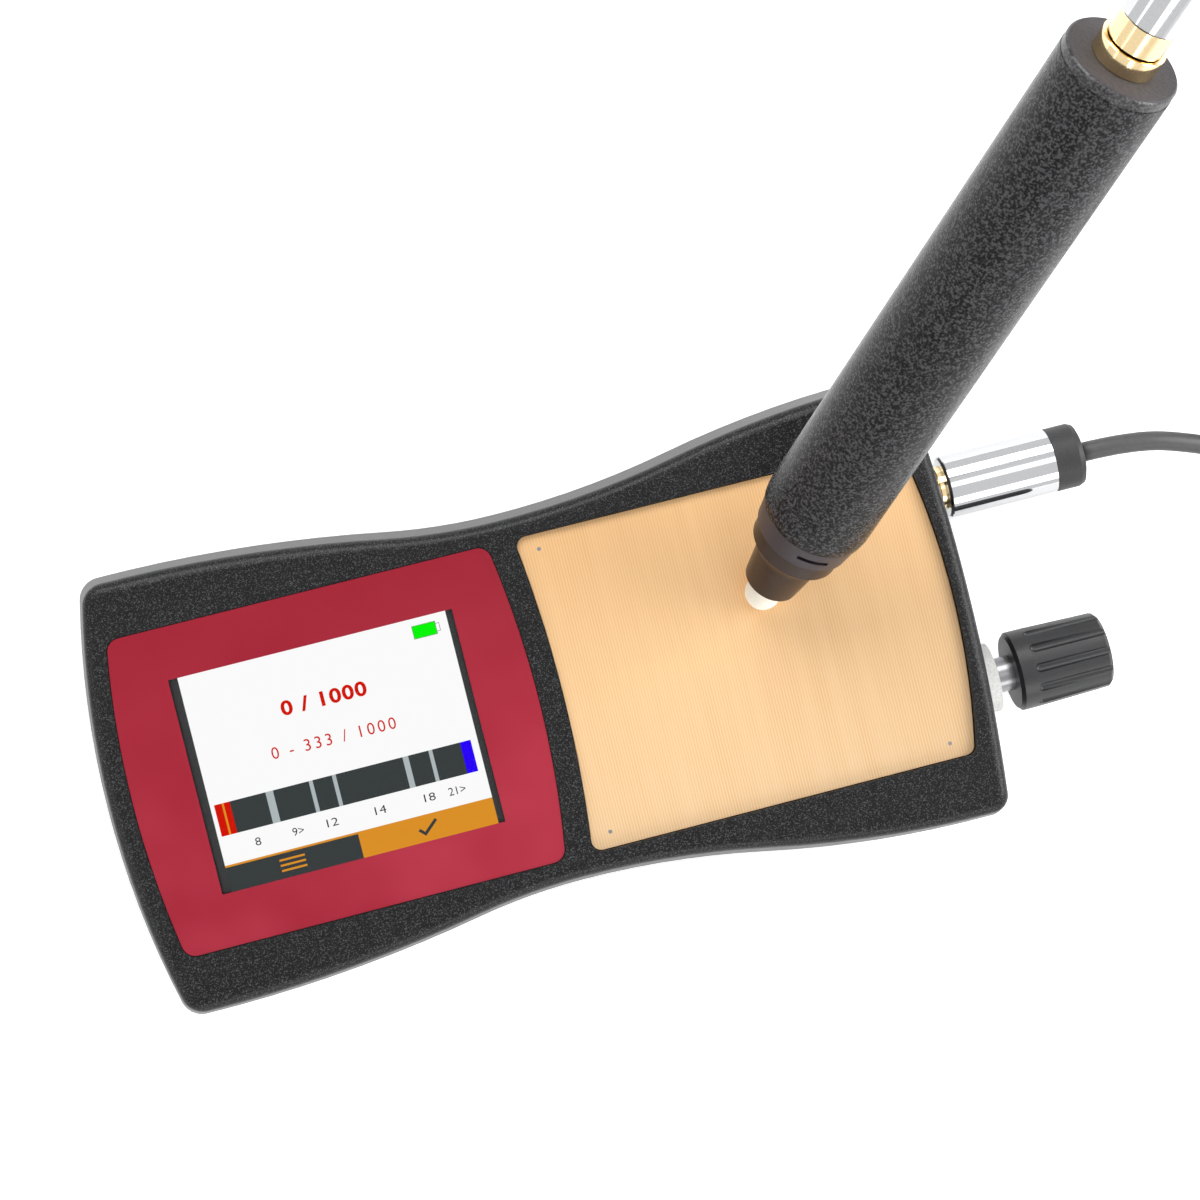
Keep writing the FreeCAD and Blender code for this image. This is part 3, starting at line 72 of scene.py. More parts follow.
class Value:
    """One socket of a finish; arithmetic on it adds Math nodes."""

    def __init__(self, finish, socket):
        self.finish = finish
        self.socket = socket

    def math(self, operation, *terms):
        return self.finish.node("ShaderNodeMath", {"operation": operation}, dict(enumerate(terms)))

    def __add__(self, other):
        return self.math("ADD", self, other)

    __radd__ = __add__

    def __sub__(self, other):
        return self.math("SUBTRACT", self, other)

    def __rsub__(self, other):
        return self.math("SUBTRACT", other, self)

    def __mul__(self, other):
        return self.math("MULTIPLY", self, other)

    __rmul__ = __mul__

    def __truediv__(self, other):
        return self.math("DIVIDE", self, other)

    def __gt__(self, other):
        return self.math("GREATER_THAN", self, other)

    def sine(self):
        return self.math("SINE", self)

    def size(self):
        return self.math("ABSOLUTE", self)


class Graph:
    """A node tree that is written as expressions."""

    def __init__(self, tree):
        self.tree = tree

    def node(self, kind, settings=None, inputs=None, output=0):
        """Add a node: settings first, then the values or links of its sockets."""
        made = self.tree.nodes.new(kind)
        for name, value in (settings or {}).items():
            setattr(made, name, value)
        for key, value in (inputs or {}).items():
            self.join(made.inputs[key], value)
        return Value(self, made.outputs[output])

    def join(self, socket, value):
        if isinstance(value, Value):
            self.tree.links.new(value.socket, socket)
        else:
            socket.default_value = value


class Finish(Graph):
    """A material built around one Principled shader."""

    def __init__(self, name, color, roughness, **shader_sockets):
        self.material = bpy.data.materials.new(name)
        self.material.use_nodes = True
        super().__init__(self.material.node_tree)
        self.shader = self.tree.nodes["Principled BSDF"]
        self.feed("Base Color", color)
        self.feed("Roughness", roughness)
        for socket, value in shader_sockets.items():
            self.feed(socket.replace("_", " "), value)

    def feed(self, socket, value):
        self.join(self.shader.inputs[socket], value)

    def place(self):
        return self.node("ShaderNodeTexCoord", output=3)

    def axis(self, index):
        """One coordinate of the place on the piece, in metres."""
        return self.node("ShaderNodeSeparateXYZ", {}, {0: self.place()}, output=index)

    def noise(self, size, detail=2.0, roughness=0.5, stretch=(1.0, 1.0, 1.0)):
        """Noise whose lumps are about the given size in metres, longer along the stretched axes."""
        scaled = self.node("ShaderNodeVectorMath", {"operation": "DIVIDE"}, {0: self.place(), 1: stretch})
        return self.node("ShaderNodeTexNoise", {}, {"Vector": scaled, "Scale": 1.0 / size, "Detail": detail,
                                                    "Roughness": roughness})

    def mix(self, factor, first, second):
        """A colour between two colours."""
        return self.node("ShaderNodeMix", {"data_type": "RGBA"}, {0: factor, 6: first, 7: second}, output=2)

    def bump(self, height, depth, strength=1.0):
        """Raise the surface by a height pattern of the given depth in metres."""
        self.feed("Normal", self.node("ShaderNodeBump", {}, {"Height": height, "Distance": depth,
                                                             "Strength": strength}))


def graded(finish, pattern, low, high, first, second):
    """A colour that goes from first to second as the pattern rises from low to high."""
    share = finish.node("ShaderNodeMapRange", {}, {0: pattern, 1: low, 2: high})
    return finish.mix(share, first, second)


# ---------------------------------------------------------------- the tester's finishes

PEN_AXIS = Vector(JOINTS["pen_lift"]["axis"])
PEN_APEX = Vector(JOINTS["pen_nose_turn"]["pos_m"])
PEN_LENGTH = 0.1595
PEN_END_DEPTH = 0.0002
PEN_END_HEIGHT = PEN_APEX.dot(PEN_AXIS) + PEN_LENGTH - PEN_END_DEPTH
PLATE_LINE_PITCH = 0.00065
DISPLAY_DOT_PITCH = 0.0002
FULL_TURN = 2.0 * math.pi


def housing_plastic():
    """Fine-grained black ABS: dark ground with small grey flecks and a worn-in sheen."""
    finish = Finish("housing_plastic", srgb(20, 20, 21), 0.3, Specular_IOR_Level=0.22)
    grain = finish.noise(0.0003, 1.0, 0.5)
    patch = finish.noise(0.006, 2.0, 0.5)
    ground = graded(finish, patch, 0.35, 0.65, srgb(7, 7, 8), srgb(13, 13, 14))
    finish.feed("Base Color", graded(finish, grain, 0.52, 0.74, ground, srgb(80, 80, 82)))
    finish.feed("Roughness", 0.3 + grain * 0.12)
    finish.bump(grain, 0.00003, 0.6)
    return finish.material


def crimson_foil():
    """Satin crimson foil, a little uneven in tone, with a painted paler sheen towards the front."""
    finish = Finish("crimson_foil", srgb(165, 34, 56), 0.26, Specular_IOR_Level=0.2)
    cloud = finish.noise(0.03, 2.0, 0.5)
    # painted sheen: the crimson is paler towards the front (lower y)
    along = finish.axis(1) * (0.5 / 0.035) + 0.5
    painted_front_sheen_tone = graded(finish, along, 0.0, 1.0, srgb(169, 50, 67), srgb(154, 34, 50))
    finish.feed("Base Color", graded(finish, cloud, 0.3, 0.7, painted_front_sheen_tone, srgb(148, 27, 45)))
    speck = finish.noise(0.00018, 2.0, 0.6)
    finish.bump(speck, 0.00002, 0.5)
    return finish.material


def clear_glass():
    """The touch panel: almost nothing but its gloss, with a faint haze."""
    finish = Finish("clear_glass", srgb(20, 24, 26), 0.04, Alpha=0.02)
    haze = finish.noise(0.02, 2.0, 0.5)
    finish.feed("Roughness", 0.03 + haze * 0.03)
    return finish.material


def lit(name, color):
    """An evenly lit area of the display, with the faint grid of its dots."""
    finish = Finish(name, srgb(0, 0, 0), 0.25, Emission_Strength=1.0, Specular_IOR_Level=0.0)
    columns = (finish.axis(0) * (FULL_TURN / DISPLAY_DOT_PITCH)).sine()
    rows = (finish.axis(1) * (FULL_TURN / DISPLAY_DOT_PITCH)).sine()
    dots = (columns + rows) * 0.5
    dimmed = tuple(level * 0.99 for level in color[:3]) + (1.0,)
    finish.feed("Emission Color", graded(finish, dots, -1.0, 1.0, dimmed, color))
    return finish.material


def plate_gold():
    """Gold-plated board with fine even lines across it, and a painted paler sheen towards the front."""
    finish = Finish("plate_gold", srgb(238, 205, 150), 0.38, Metallic=0.2)
    lines = (finish.axis(0) * (FULL_TURN / PLATE_LINE_PITCH)).sine() * 0.5 + 0.5
    wear = finish.noise(0.004, 3.0, 0.6, stretch=(1.0, 14.0, 1.0))
    fine = finish.noise(0.00022, 2.0, 0.6)
    # painted sheen: the gold is paler and less saturated towards the front (lower y)
    front = finish.axis(1) * (-0.5 / 0.035) + 0.5
    tone = graded(finish, front, 0.0, 1.0, srgb(238, 190, 132), srgb(228, 195, 152))
    lined = finish.mix(lines * wear, tone, srgb(208, 158, 104))
    finish.feed("Base Color", finish.mix(fine * 0.12, lined, srgb(236, 214, 178)))
    finish.feed("Roughness", 0.34 + wear * 0.15)
    finish.bump(lines * 0.7 + fine * 0.3, 0.00002, 0.6)
    return finish.material


def sintered_side(finish):
    """Give a finish the pen's fine wrinkled grain, and return the grain's height and colour."""
    wrinkle = finish.noise(0.0009, 1.0, 0.5)
    grit = finish.noise(0.00048, 1.0, 0.5)
    height = wrinkle * 0.4 + grit * 0.6
    return height, graded(finish, height, 0.45, 0.58, srgb(2, 2, 3), srgb(72, 71, 73))


def pen_plastic():
    """Sintered nylon: fine wrinkled grain with soft pale glints."""
    finish = Finish("pen_plastic", srgb(40, 39, 41), 0.3, Specular_IOR_Level=0.2)
    height, tone = sintered_side(finish)
    finish.feed("Base Color", tone)
    finish.feed("Roughness", 0.14 + height * 0.24)
    finish.bump(height, 0.00014, 1.0)
    return finish.material


def end_cap_plastic():
    """The pen's grain on the cap's side and a matte brownish cut face on its end."""
    finish = Finish("end_cap_plastic", srgb(90, 84, 87), 0.6)
    along = finish.node("ShaderNodeVectorMath", {"operation": "DOT_PRODUCT"},
                        {0: finish.place(), 1: PEN_AXIS}, output=1)
    face = along > PEN_END_HEIGHT
    height, tone = sintered_side(finish)
    end = graded(finish, height, 0.35, 0.65, srgb(48, 44, 47), srgb(64, 60, 63))
    finish.feed("Base Color", finish.mix(face, tone, end))
    finish.feed("Roughness", (0.2 + height * 0.2) + face * 0.35)
    finish.bump(height, 0.00012, 1.0)
    return finish.material


def satin(name, color, roughness=0.5, grain=0.0005, depth=0.00004, spread=0.12, **sockets):
    """A moulded surface: faint grain in colour, gloss and relief."""
    finish = Finish(name, color, roughness, **sockets)
    pattern = finish.noise(grain, 3.0, 0.55)
    darker = tuple(level * (1.0 - spread) for level in color[:3]) + (1.0,)
    paler = tuple(min(1.0, level * (1.0 + spread)) for level in color[:3]) + (1.0,)
    finish.feed("Base Color", graded(finish, pattern, 0.3, 0.7, darker, paler))
    finish.feed("Roughness", (roughness - 0.06) + pattern * 0.12)
    finish.bump(pattern, depth, 0.6)
    return finish.material


def bright_metal(name, color, roughness):
    """Polished or turned metal with faint tool marks."""
    finish = Finish(name, color, roughness, Metallic=1.0)
    marks = finish.noise(0.0004, 2.0, 0.5)
    paler = tuple(min(1.0, level * 1.06) for level in color[:3]) + (1.0,)
    finish.feed("Base Color", graded(finish, marks, 0.3, 0.7, color, paler))
    finish.feed("Roughness", roughness + marks * 0.05)
    return finish.material


FINISHES = {
    "housing_plastic": housing_plastic(),
    "foil": crimson_foil(),
    "touch_glass": clear_glass(),
    "screen": satin("screen_border", srgb(22, 24, 26), 0.3),
    "sheet_steel": bright_metal("sheet_steel", srgb(190, 190, 190), 0.3),
    "circuit_board": satin("circuit_board", srgb(30, 92, 50), 0.4, spread=0.2),
    "steel": bright_metal("turned_steel", srgb(142, 142, 144), 0.26),
    "black_plastic": satin("black_plastic", srgb(34, 34, 35), 0.5),
    "flex": satin("amber_flex", srgb(176, 116, 40), 0.3),
    "cell_wrap": satin("cell_wrap", srgb(86, 104, 128), 0.3),
    "wire": satin("wire_red", srgb(170, 36, 30), 0.4),
    "plate_gold": plate_gold(),
    "rubber": satin("foot_rubber", srgb(30, 30, 30), 0.8),
    "gold": bright_metal("gold_plate", srgb(240, 214, 166), 0.08),
    "pale_nylon": satin("pale_nylon", srgb(226, 226, 223), 0.45),
    "lead_jacket": satin("lead_jacket", srgb(66, 66, 67), 0.45, grain=0.0012),
    "tie": satin("tie_fabric", srgb(34, 34, 34), 0.9, grain=0.0006, depth=0.0001),
    "chrome": bright_metal("chrome", srgb(196, 197, 199), 0.04),
    "plug_plastic": satin("plug_plastic", srgb(30, 30, 31), 0.5, grain=0.0004, depth=0.0001, spread=0.5),
    "cap_plastic": satin("cap_plastic", srgb(34, 34, 36), 0.4, grain=0.0004, depth=0.00003, spread=0.3),
    "pen_plastic": pen_plastic(),
    "nose_plastic": satin("nose_plastic", srgb(60, 45, 36), 0.32, grain=0.0009, Specular_IOR_Level=0.3),
    "tip_felt": satin("tip_felt", srgb(250, 246, 232), 0.9, grain=0.0006, depth=0.00015, spread=0.03),
}

NODE_FINISHES = {
    "pen_end_cap": end_cap_plastic(),
    "lock_ring": satin("ring_plastic", srgb(62, 57, 62), 0.36, grain=0.0006, Specular_IOR_Level=0.35),
}

for part in frame["record"]["subparts"]:
    mesh = NODES[part["node"]].data
    mesh.materials.clear()
    mesh.materials.append(NODE_FINISHES.get(part["node"], FINISHES[part["material_slot"]]))


# ---------------------------------------------------------------- camera, floor and light

CAMERA_PLACE = Vector((-26.62, 25.12, 620.21)) * MM
CAMERA_AIM = Vector((19.75, 17.29, 0.0)) * MM
CAMERA_UPWARD = Vector((0.2448, 0.9696, 0.0061))
CAMERA_LENS = 80.47
CAMERA_SENSOR = 36.0
CAMERA_NEAREST = 0.01

camera_data = bpy.data.cameras.new("camera")
camera_data.lens = CAMERA_LENS
camera_data.sensor_width = CAMERA_SENSOR
camera_data.clip_start = CAMERA_NEAREST
camera = bpy.data.objects.new("camera", camera_data)
bpy.context.scene.collection.objects.link(camera)
backward = (CAMERA_PLACE - CAMERA_AIM).normalized()
rightward = CAMERA_UPWARD.cross(backward).normalized()
upward = backward.cross(rightward)
camera_turn = Matrix((rightward, upward, backward)).transposed().to_4x4()
camera.matrix_world = Matrix.Translation(CAMERA_PLACE) @ camera_turn
bpy.context.scene.camera = camera
bpy.context.scene.view_settings.view_transform = "Standard"


def grey(level):
    """A neutral colour of the given linear level."""
    return (level, level, level, 1.0)


HORIZON_TILT = (-0.12, 0.22, 1.0)
HORIZON_GLOW = 2.8
HORIZON_FADE = 0.3
CEILING_GLOW = 0.02
FLOOR_TOP = -0.0002
FLOOR_LEFT = -0.7
FLOOR_REACH = 6.0
FLOOR_PALE = grey(0.9)
# Floor colours for all light but the camera's, gloss and glass rays: a painted shade, near black, in a box round
# the tester, grey outside the box, and dark again past a slanted table edge.
PAINTED_SHADE_AND_TABLE_END_DARK = grey(0.03)
PALE_TABLE = grey(0.4)
PAINTED_SHADE_HALF_LENGTH = 0.15
PAINTED_SHADE_HALF_WIDTH = 0.062
PAINTED_SHADE_FULL, PAINTED_SHADE_GONE = 0.9, 1.35
TABLE_SLANT = 0.6
TABLE_EDGE = 0.42
TABLE_FADE = 0.08
LIFT_NEAR, LIFT_FAR = 0.3, 1.0
LIFT_AT_TESTER = grey(0.52)
LIGHT_AIM = Vector((0.0, 0.0, 0.02))


def seen_white(graph):
    """1 for the camera's own rays and those off metal and gloss or through glass, 0 for all other light."""
    camera_ray = graph.node("ShaderNodeLightPath")
    glossy_ray = graph.node("ShaderNodeLightPath", output=3)
    through = graph.node("ShaderNodeLightPath", output=6)
    return camera_ray.math("MAXIMUM", camera_ray, glossy_ray.math("MAXIMUM", glossy_ray, through))


def studio_world():
    """White behind the tester and in its gloss; soft light from a bright horizon under a dim ceiling."""
    world = bpy.data.worlds.new("studio")
    bpy.context.scene.world = world
    world.use_nodes = True
    graph = Graph(world.node_tree)
    heading = graph.node("ShaderNodeTexCoord")
    level = graph.node("ShaderNodeVectorMath", {"operation": "DOT_PRODUCT"},
                       {0: heading, 1: HORIZON_TILT}, output=1)
    glow = graph.node("ShaderNodeMapRange", {"interpolation_type": "SMOOTHSTEP"},
                      {0: level, 1: 0.0, 2: HORIZON_FADE, 3: HORIZON_GLOW, 4: CEILING_GLOW})
    strength = graph.node("ShaderNodeMix", {"data_type": "FLOAT"}, {0: seen_white(graph), 2: glow, 3: 1.0})
    background = world.node_tree.nodes["Background"]
    graph.join(background.inputs[0], grey(1.0))
    graph.join(background.inputs[1], strength)


def studio_floor():
    """A pale floor that shows white with a faint shadow; to other light it is grey with a painted shade round the
    tester, so it throws little light back under the tester.
    """
    mesh = bpy.data.meshes.new("floor")
    corners = [(x, y, FLOOR_TOP) for x, y in ((FLOOR_LEFT, -FLOOR_REACH), (FLOOR_REACH, -FLOOR_REACH),
                                              (FLOOR_REACH, FLOOR_REACH), (FLOOR_LEFT, FLOOR_REACH))]
    mesh.from_pydata(corners, [], [(0, 1, 2, 3)])
    floor = bpy.data.objects.new("floor", mesh)
    bpy.context.scene.collection.objects.link(floor)
    finish = Finish("floor", FLOOR_PALE, 0.9, Specular_IOR_Level=0.0)
    # painted shade: near black in a box round the tester, fading to grey outside it
    along = (finish.axis(0) / PAINTED_SHADE_HALF_LENGTH).size()
    across = (finish.axis(1) / PAINTED_SHADE_HALF_WIDTH).size()
    painted_shade_round_tester = graded(finish, along.math("MAXIMUM", along, across), PAINTED_SHADE_FULL, PAINTED_SHADE_GONE, PAINTED_SHADE_AND_TABLE_END_DARK, PALE_TABLE)
    ahead = finish.axis(0) * TABLE_SLANT - finish.axis(1)
    around = graded(finish, ahead, TABLE_EDGE, TABLE_EDGE + TABLE_FADE, painted_shade_round_tester, PAINTED_SHADE_AND_TABLE_END_DARK)
    seen = seen_white(finish)
    finish.feed("Base Color", finish.mix(seen, around, FLOOR_PALE))
    away = finish.node("ShaderNodeVectorMath", {"operation": "LENGTH"}, {0: finish.place()}, output=1)
    lift = graded(finish, away, LIFT_NEAR, LIFT_FAR, LIFT_AT_TESTER, grey(1.0))
    finish.feed("Emission Color", finish.mix(seen, grey(0.0), lift))
    finish.feed("Emission Strength", 1.0)
    floor.data.materials.append(finish.material)


def softbox(name, place, width, length, power):
    """A rectangular area light, in metres and watts, turned towards the tester."""
    light = bpy.data.lights.new(name, "AREA")
    light.shape = "RECTANGLE"
    light.size = width
    light.size_y = length
    light.energy = power
    holder = bpy.data.objects.new(name, light)
    bpy.context.scene.collection.objects.link(holder)
    holder.location = place
    holder.rotation_euler = (LIGHT_AIM - Vector(place)).to_track_quat("-Z", "Y").to_euler()


studio_world()
studio_floor()
softbox("key_light", (0.0, 0.86, 0.9), 1.2, 0.6, 12.5)
softbox("plug_light", (0.5, 0.04, 1.4), 0.45, 0.35, 0.6)
softbox("left_light", (-1.0, -0.1, 0.65), 0.5, 0.8, 2.2)
softbox("right_light", (1.0, 0.0, 0.6), 0.8, 0.6, 10.5)
softbox("front_light", (0.1, -1.05, 0.6), 1.4, 0.5, 6.0)


# ---------------------------------------------------------------- lead

def smooth_line(points):
    """Points read along a smooth curve that has the given ones as its control points."""
    data = bpy.data.curves.new("lead_line", "CURVE")
    data.dimensions = "3D"
    data.resolution_u = 8
    spline = data.splines.new("NURBS")
    spline.points.add(len(points) - 1)
    for place, point in zip(points, spline.points):
        point.co = (*place, 1.0)
    spline.order_u = 3
    spline.use_endpoint_u = True
    holder = bpy.data.objects.new("lead_line", data)
    bpy.context.scene.collection.objects.link(holder)
    bpy.context.view_layer.update()
    mesh = bpy.data.meshes.new_from_object(holder)
    line = [vertex.co.copy() for vertex in mesh.vertices]
    bpy.data.objects.remove(holder)
    bpy.data.meshes.remove(mesh)
    return line


def object_from(name, bm, finish, smooth=True):
    """A named object from a bmesh, with one finish."""
    mesh = bpy.data.meshes.new(name)
    bm.to_mesh(mesh)
    bm.free()
    for polygon in mesh.polygons:
        polygon.use_smooth = smooth
    mesh.materials.append(FINISHES[finish] if isinstance(finish, str) else finish)
    piece = bpy.data.objects.new(name, mesh)
    bpy.context.scene.collection.objects.link(piece)
    return piece


def tube_mesh(line, radius, sides=16):
    """A closed round tube along a line of points, carried without twist."""
    bm = bmesh.new()
    heading = (line[1] - line[0]).normalized()
    across = heading.orthogonal().normalized()
    rings = []
    for index, place in enumerate(line):
        ahead = line[min(index + 1, len(line) - 1)] - line[max(index - 1, 0)]
        ahead.normalize()
        across = (across - ahead * across.dot(ahead)).normalized()
        side = ahead.cross(across)
        ring = []
        for step in range(sides):
            turn = FULL_TURN * step / sides
            ring.append(bm.verts.new(place + (across * math.cos(turn) + side * math.sin(turn)) * radius))
        rings.append(ring)
    for first, second in zip(rings, rings[1:]):
        for step in range(sides):
            after = (step + 1) % sides
            bm.faces.new((first[step], first[after], second[after], second[step]))
    bm.faces.new(rings[0][::-1])
    bm.faces.new(rings[-1])
    bmesh.ops.recalc_face_normals(bm, faces=bm.faces)
    return bm


LEAD_RADIUS = 2.25
COIL_CENTRE = (204.0, 31.0)
COIL_TURNS = ((26.2, 2.3), (21.8, 2.3), (21.8, 6.75), (26.2, 6.75))
COIL_STEPS = 16
COIL_FIRST_STEP = -4
COIL_LAST_STEPS = 3
CROSSING_STEPS = 4


def coil_points():
    """The lead's turns: one ring beside another on the floor, and two more on top of them."""
    points = []
    last = len(COIL_TURNS) * COIL_STEPS + COIL_LAST_STEPS
    for step in range(last):
        turn = min(step // COIL_STEPS, len(COIL_TURNS) - 1)
        part = step - turn * COIL_STEPS
        radius, height = COIL_TURNS[turn]
        if turn + 1 < len(COIL_TURNS) and part > COIL_STEPS - CROSSING_STEPS:
            share = (part - COIL_STEPS + CROSSING_STEPS) / CROSSING_STEPS
            radius += (COIL_TURNS[turn + 1][0] - radius) * share
            height += (COIL_TURNS[turn + 1][1] - height) * share
        angle = FULL_TURN * (step + COIL_FIRST_STEP) / COIL_STEPS
        points.append((COIL_CENTRE[0] + radius * math.cos(angle),
                       COIL_CENTRE[1] + radius * math.sin(angle), height))
    return points


# ---------------------------------------------------------------- turned metal

LATHE_STEPS = 96
PROFILE_GRID = 0.004 * MM
CREASE = math.radians(20.0)
EDGE_EASE = 0.12 * MM
LARGEST_EASE_SHARE = 0.3


def turned_profile(node, origin, axis):
    """The (radius, height) corners of a turned CAD piece, in order around its half section."""
    corners = []
    corner_of = []
    for vertex in NODES[node].data.vertices:
        place = NODES[node].matrix_world @ vertex.co - origin
        height = place.dot(axis)
        corner = Vector(((place - axis * height).length, height))
        known = [index for index, other in enumerate(corners) if (other - corner).length < PROFILE_GRID]
        if not known:
            corners.append(corner)
        corner_of.append(known[0] if known else len(corners) - 1)
    beside = {index: set() for index in range(len(corners))}
    for first, second in NODES[node].data.edge_keys:
        if corner_of[first] != corner_of[second]:
            beside[corner_of[first]].add(corner_of[second])
            beside[corner_of[second]].add(corner_of[first])
    order = [0]
    while len(order) < len(corners):
        order.append(next(index for index in sorted(beside[order[-1]]) if index not in order))
    return [corners[index] for index in order]


def eased(profile, width):
    """A closed half section with each corner cut by a small chamfer."""
    points = []
    for index, corner in enumerate(profile):
        for other in (profile[index - 1], profile[(index + 1) % len(profile)]):
            side = other - corner
            points.append(corner + side * min(width / side.length, LARGEST_EASE_SHARE))
    return points


def turned_again(node, body, origin, axis):
    """A smoother copy of a turned CAD piece, with its corners eased."""
    bm = bmesh.new()
    across = axis.orthogonal().normalized()
    side = axis.cross(across)
    rings = []
    for radius, height in eased(turned_profile(node, origin, axis), EDGE_EASE):
        ring = []
        for step in range(LATHE_STEPS):
            turn = FULL_TURN * step / LATHE_STEPS
            outward = across * math.cos(turn) + side * math.sin(turn)
            ring.append(bm.verts.new(origin + axis * height + outward * radius))
        rings.append(ring)
    for index, ring in enumerate(rings):
        before = rings[index - 1]
        for step in range(LATHE_STEPS):
            after = (step + 1) % LATHE_STEPS
            bm.faces.new((before[step], before[after], ring[after], ring[step]))
    bmesh.ops.recalc_face_normals(bm, faces=bm.faces)
    slot = next(part["material_slot"] for part in frame["record"]["subparts"] if part["node"] == node)
    piece = object_from(node + "_turned", bm, slot)
    piece.data.set_sharp_from_angle(angle=CREASE)
    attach(piece, body)
    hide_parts(node)
    return piece


socket_line = (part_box("socket_body")[0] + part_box("socket_body")[1]) / 2
plug_axis = Vector((1.0, 0.0, 0.0))
turned_again("socket_body", "housing", socket_line, plug_axis)
turned_again("pen_socket_body", "pen", PEN_APEX, PEN_AXIS)
for ending in ("_sleeve", "_barrel"):
    for plug, origin, axis in (("device_plug", socket_line, plug_axis), ("pen_plug", PEN_APEX, PEN_AXIS)):
        turned_again(plug + ending, plug, origin, axis)


# ---------------------------------------------------------------- lead in place

LEAD_EXIT_LINE = (23.2, 15.0)
LEAD_END = Vector((140.491, 110.587, 186.42))
LEAD_RISE = 22.0

plug_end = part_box("device_plug_collar")[1].x / MM
lead_exit = Vector((plug_end, *LEAD_EXIT_LINE))
floor_run = [lead_exit, lead_exit + Vector((13.5, 0.0, 0.0)), (161.5, 19.0, 12.2), (176.0, 12.8, 7.4),
             (189.5, 7.2, 3.4)]
pen_run = [(229.5, 49.0, 6.0), (229.0, 64.0, 12.5), (229.0, 79.0, 29.0), (228.5, 92.0, 56.0),
           (227.0, 104.0, 89.0), (224.5, 114.5, 123.0), (219.3, 124.6, 155.0), (210.0, 132.5, 182.5),
           (192.4, 137.6, 203.2), (169.7, 133.8, 210.0), LEAD_END + PEN_AXIS * LEAD_RISE, LEAD_END]
lead_route = [Vector(point) * MM for point in floor_run + coil_points() + pen_run]
lead_line = smooth_line(lead_route)
lead = object_from("lead", tube_mesh(lead_line, LEAD_RADIUS * MM), "lead_jacket")
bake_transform(lead)
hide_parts("lead_floor_run", "lead_pen_run", "lead_coil")


# ---------------------------------------------------------------- display picture

def slab(name, corners, low, high, finish):
    """A thin plate on the housing, cut to an outline of (x, y) corners in millimetres."""
    bm = bmesh.new()
    face = bm.faces.new([bm.verts.new((x * MM, y * MM, low * MM)) for x, y in corners])
    raised = bmesh.ops.extrude_face_region(bm, geom=[face])["geom"]
    moved = [item for item in raised if isinstance(item, bmesh.types.BMVert)]
    bmesh.ops.translate(bm, verts=moved, vec=(0.0, 0.0, (high - low) * MM))
    bmesh.ops.recalc_face_normals(bm, faces=bm.faces)
    piece = object_from(name, bm, finish, smooth=False)
    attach(piece, "housing")
    return piece


def oblong(x_low, x_high, y_low, y_high):
    """The four corners of a rectangle."""
    return [(x_low, y_low), (x_high, y_low), (x_high, y_high), (x_low, y_high)]


def figures(name, text, centre, width, height, finish, weight=0.0, spacing=1.0):
    """Plain printed figures, stretched to a width and a height in millimetres about their centre."""
    data = bpy.data.curves.new(name, "FONT")
    data.body = text
    data.space_character = spacing
    data.offset = weight
    data.resolution_u = 4
    holder = bpy.data.objects.new(name, data)
    bpy.context.scene.collection.objects.link(holder)
    bpy.context.view_layer.update()
    mesh = bpy.data.meshes.new_from_object(holder)
    bpy.data.objects.remove(holder)
    places = [vertex.co for vertex in mesh.vertices]
    low = Vector((min(place.x for place in places), min(place.y for place in places)))
    high = Vector((max(place.x for place in places), max(place.y for place in places)))
    for place in places:
        across = (place.x - (low.x + high.x) / 2) / (high.x - low.x) * width
        along = (place.y - (low.y + high.y) / 2) / (high.y - low.y) * height
        place.xyz = ((centre[0] + across) * MM, (centre[1] + along) * MM, PICTURE_PRINT * MM)
    mesh.materials.append(finish)
    piece = bpy.data.objects.new(name, mesh)
    bpy.context.scene.collection.objects.link(piece)
    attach(piece, "housing")
    return piece


PICTURE_BASE = 35.93
PICTURE_GROUND = 35.97
PICTURE_BAR = 36.0
PICTURE_STRIPE = 36.02
PICTURE_PRINT = 36.03
PICTURE_LEFT, PICTURE_RIGHT = -75.8, -16.3
PICTURE_HALF_HEIGHT = 24.6
BAR_LEFT, BAR_RIGHT, BAR_LOW, BAR_HIGH = -74.9, -17.8, -11.8, -4.8
KEYS_TOP, KEYS_MIDDLE = -18.1, -46.4
KEY_LINE = 0.45
LIST_TOP, LIST_PITCH, LIST_HALF_LINE = -19.95, 1.15, 0.22
SCALE_FIGURES_Y = -14.7
SCALE_FIGURE_WIDTH, SCALE_FIGURE_HEIGHT = 1.25, 1.75

white = lit("picture_white", srgb(255, 255, 255))
slate = lit("picture_slate", srgb(58, 63, 64))
pale = lit("picture_pale", srgb(176, 186, 188))
red = lit("picture_red", srgb(212, 22, 6))
blue = lit("picture_blue", srgb(42, 4, 250))
green = lit("picture_green", srgb(8, 250, 8))
orange = lit("picture_orange", srgb(222, 146, 40))


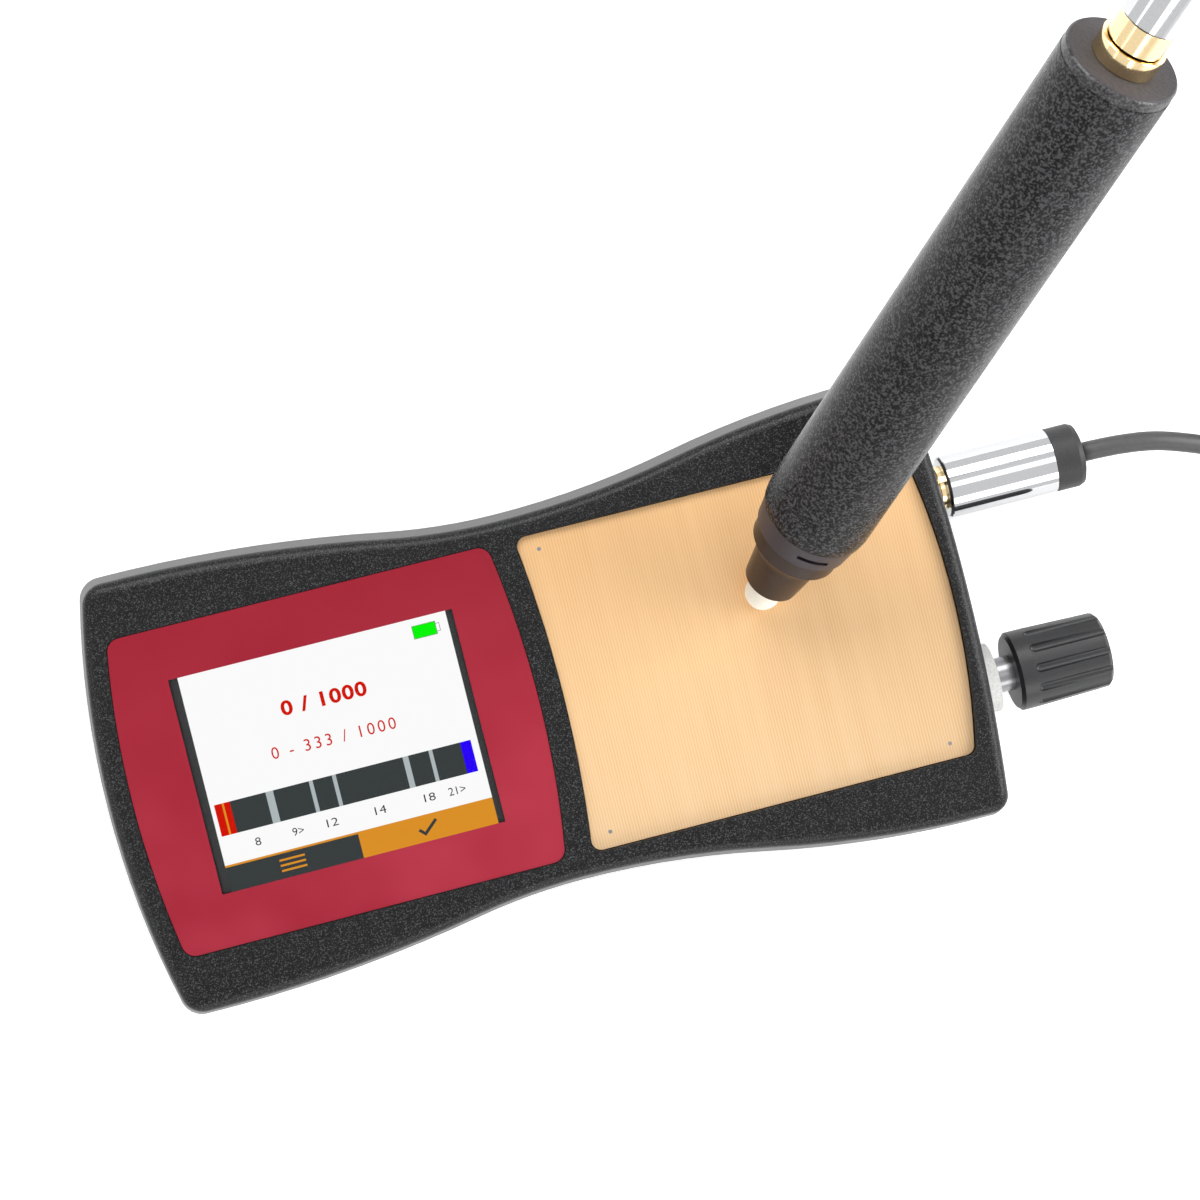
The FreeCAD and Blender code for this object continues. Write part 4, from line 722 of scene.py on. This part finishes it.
def display_picture():
    """The lit picture: scale bar with its figures, two readings above it, a battery sign and two keys."""
    low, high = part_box("display_panel")
    frame_panel = slab("panel_border", oblong(low.x / MM, high.x / MM, low.y / MM, high.y / MM),
                       low.z / MM, PICTURE_BASE, "screen")
    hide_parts("display_panel")
    slab("picture_ground", oblong(PICTURE_LEFT, PICTURE_RIGHT, -PICTURE_HALF_HEIGHT, PICTURE_HALF_HEIGHT),
         PICTURE_BASE, PICTURE_GROUND, white)
    slab("scale_bar", oblong(BAR_LEFT, BAR_RIGHT, BAR_LOW, BAR_HIGH), PICTURE_GROUND, PICTURE_BAR,
         slate)
    length = BAR_RIGHT - BAR_LEFT
    marks = [("scale_low", 0.0, 0.06, red), ("scale_low_line", 0.029, 0.037, orange),
             ("scale_mark_1", 0.199, 0.228, pale), ("scale_mark_2", 0.367, 0.382, pale),
             ("scale_mark_3", 0.457, 0.472, pale), ("scale_mark_4", 0.733, 0.755, pale),
             ("scale_mark_5", 0.834, 0.849, pale), ("scale_high", 0.958, 1.0, blue)]
    for name, start, end, finish in marks:
        top = PICTURE_PRINT if name.endswith("line") else PICTURE_STRIPE
        slab(name, oblong(BAR_LEFT + start * length, BAR_LEFT + end * length, BAR_LOW, BAR_HIGH),
             PICTURE_BAR, top, finish)
    for text, x in (("8", -67.6), ("9>", -58.7), ("12", -51.1), ("14", -40.4), ("18", -29.4), ("21>", -23.3)):
        figures("scale_" + text.strip(">"), text, (x, SCALE_FIGURES_Y), SCALE_FIGURE_WIDTH * len(text),
                SCALE_FIGURE_HEIGHT, slate)
    figures("reading", "0 / 1000", (KEYS_MIDDLE, 11.8), 19.0, 3.3, red, weight=0.03, spacing=1.1)
    figures("reading_range", "0 - 333 / 1000", (KEYS_MIDDLE, 2.9), 27.6, 2.6, red, spacing=1.3)
    slab("key_left", oblong(PICTURE_LEFT, KEYS_MIDDLE, -PICTURE_HALF_HEIGHT, KEYS_TOP - KEY_LINE),
         PICTURE_GROUND, PICTURE_BAR, slate)
    slab("key_left_line", oblong(PICTURE_LEFT, KEYS_MIDDLE, KEYS_TOP - KEY_LINE, KEYS_TOP),
         PICTURE_GROUND, PICTURE_BAR, orange)
    slab("key_right", oblong(KEYS_MIDDLE, PICTURE_RIGHT, -PICTURE_HALF_HEIGHT, KEYS_TOP),
         PICTURE_GROUND, PICTURE_BAR, orange)
    for step in range(3):
        y = LIST_TOP - LIST_PITCH * step
        slab("key_list_%d" % (step + 1), oblong(-64.2, -58.6, y - LIST_HALF_LINE, y + LIST_HALF_LINE),
             PICTURE_BAR, PICTURE_PRINT, orange)
    tick = [(-33.6, -21.3), (-33.1, -20.85), (-32.2, -21.75), (-29.5, -19.35), (-29.05, -19.85),
            (-32.2, -22.65)]
    slab("key_tick", tick, PICTURE_BAR, PICTURE_PRINT, slate)
    slab("battery_edge", oblong(-24.25, -19.0, 19.3, 22.2), PICTURE_GROUND, PICTURE_BAR, slate)
    slab("battery_level", oblong(-24.15, -19.1, 19.4, 22.1), PICTURE_BAR, PICTURE_STRIPE, green)
    slab("battery_nub_edge", oblong(-19.0, -18.2, 19.85, 21.65), PICTURE_GROUND, PICTURE_BAR, slate)
    slab("battery_nub", oblong(-19.0, -18.3, 19.95, 21.55), PICTURE_BAR, PICTURE_STRIPE, white)


display_picture()
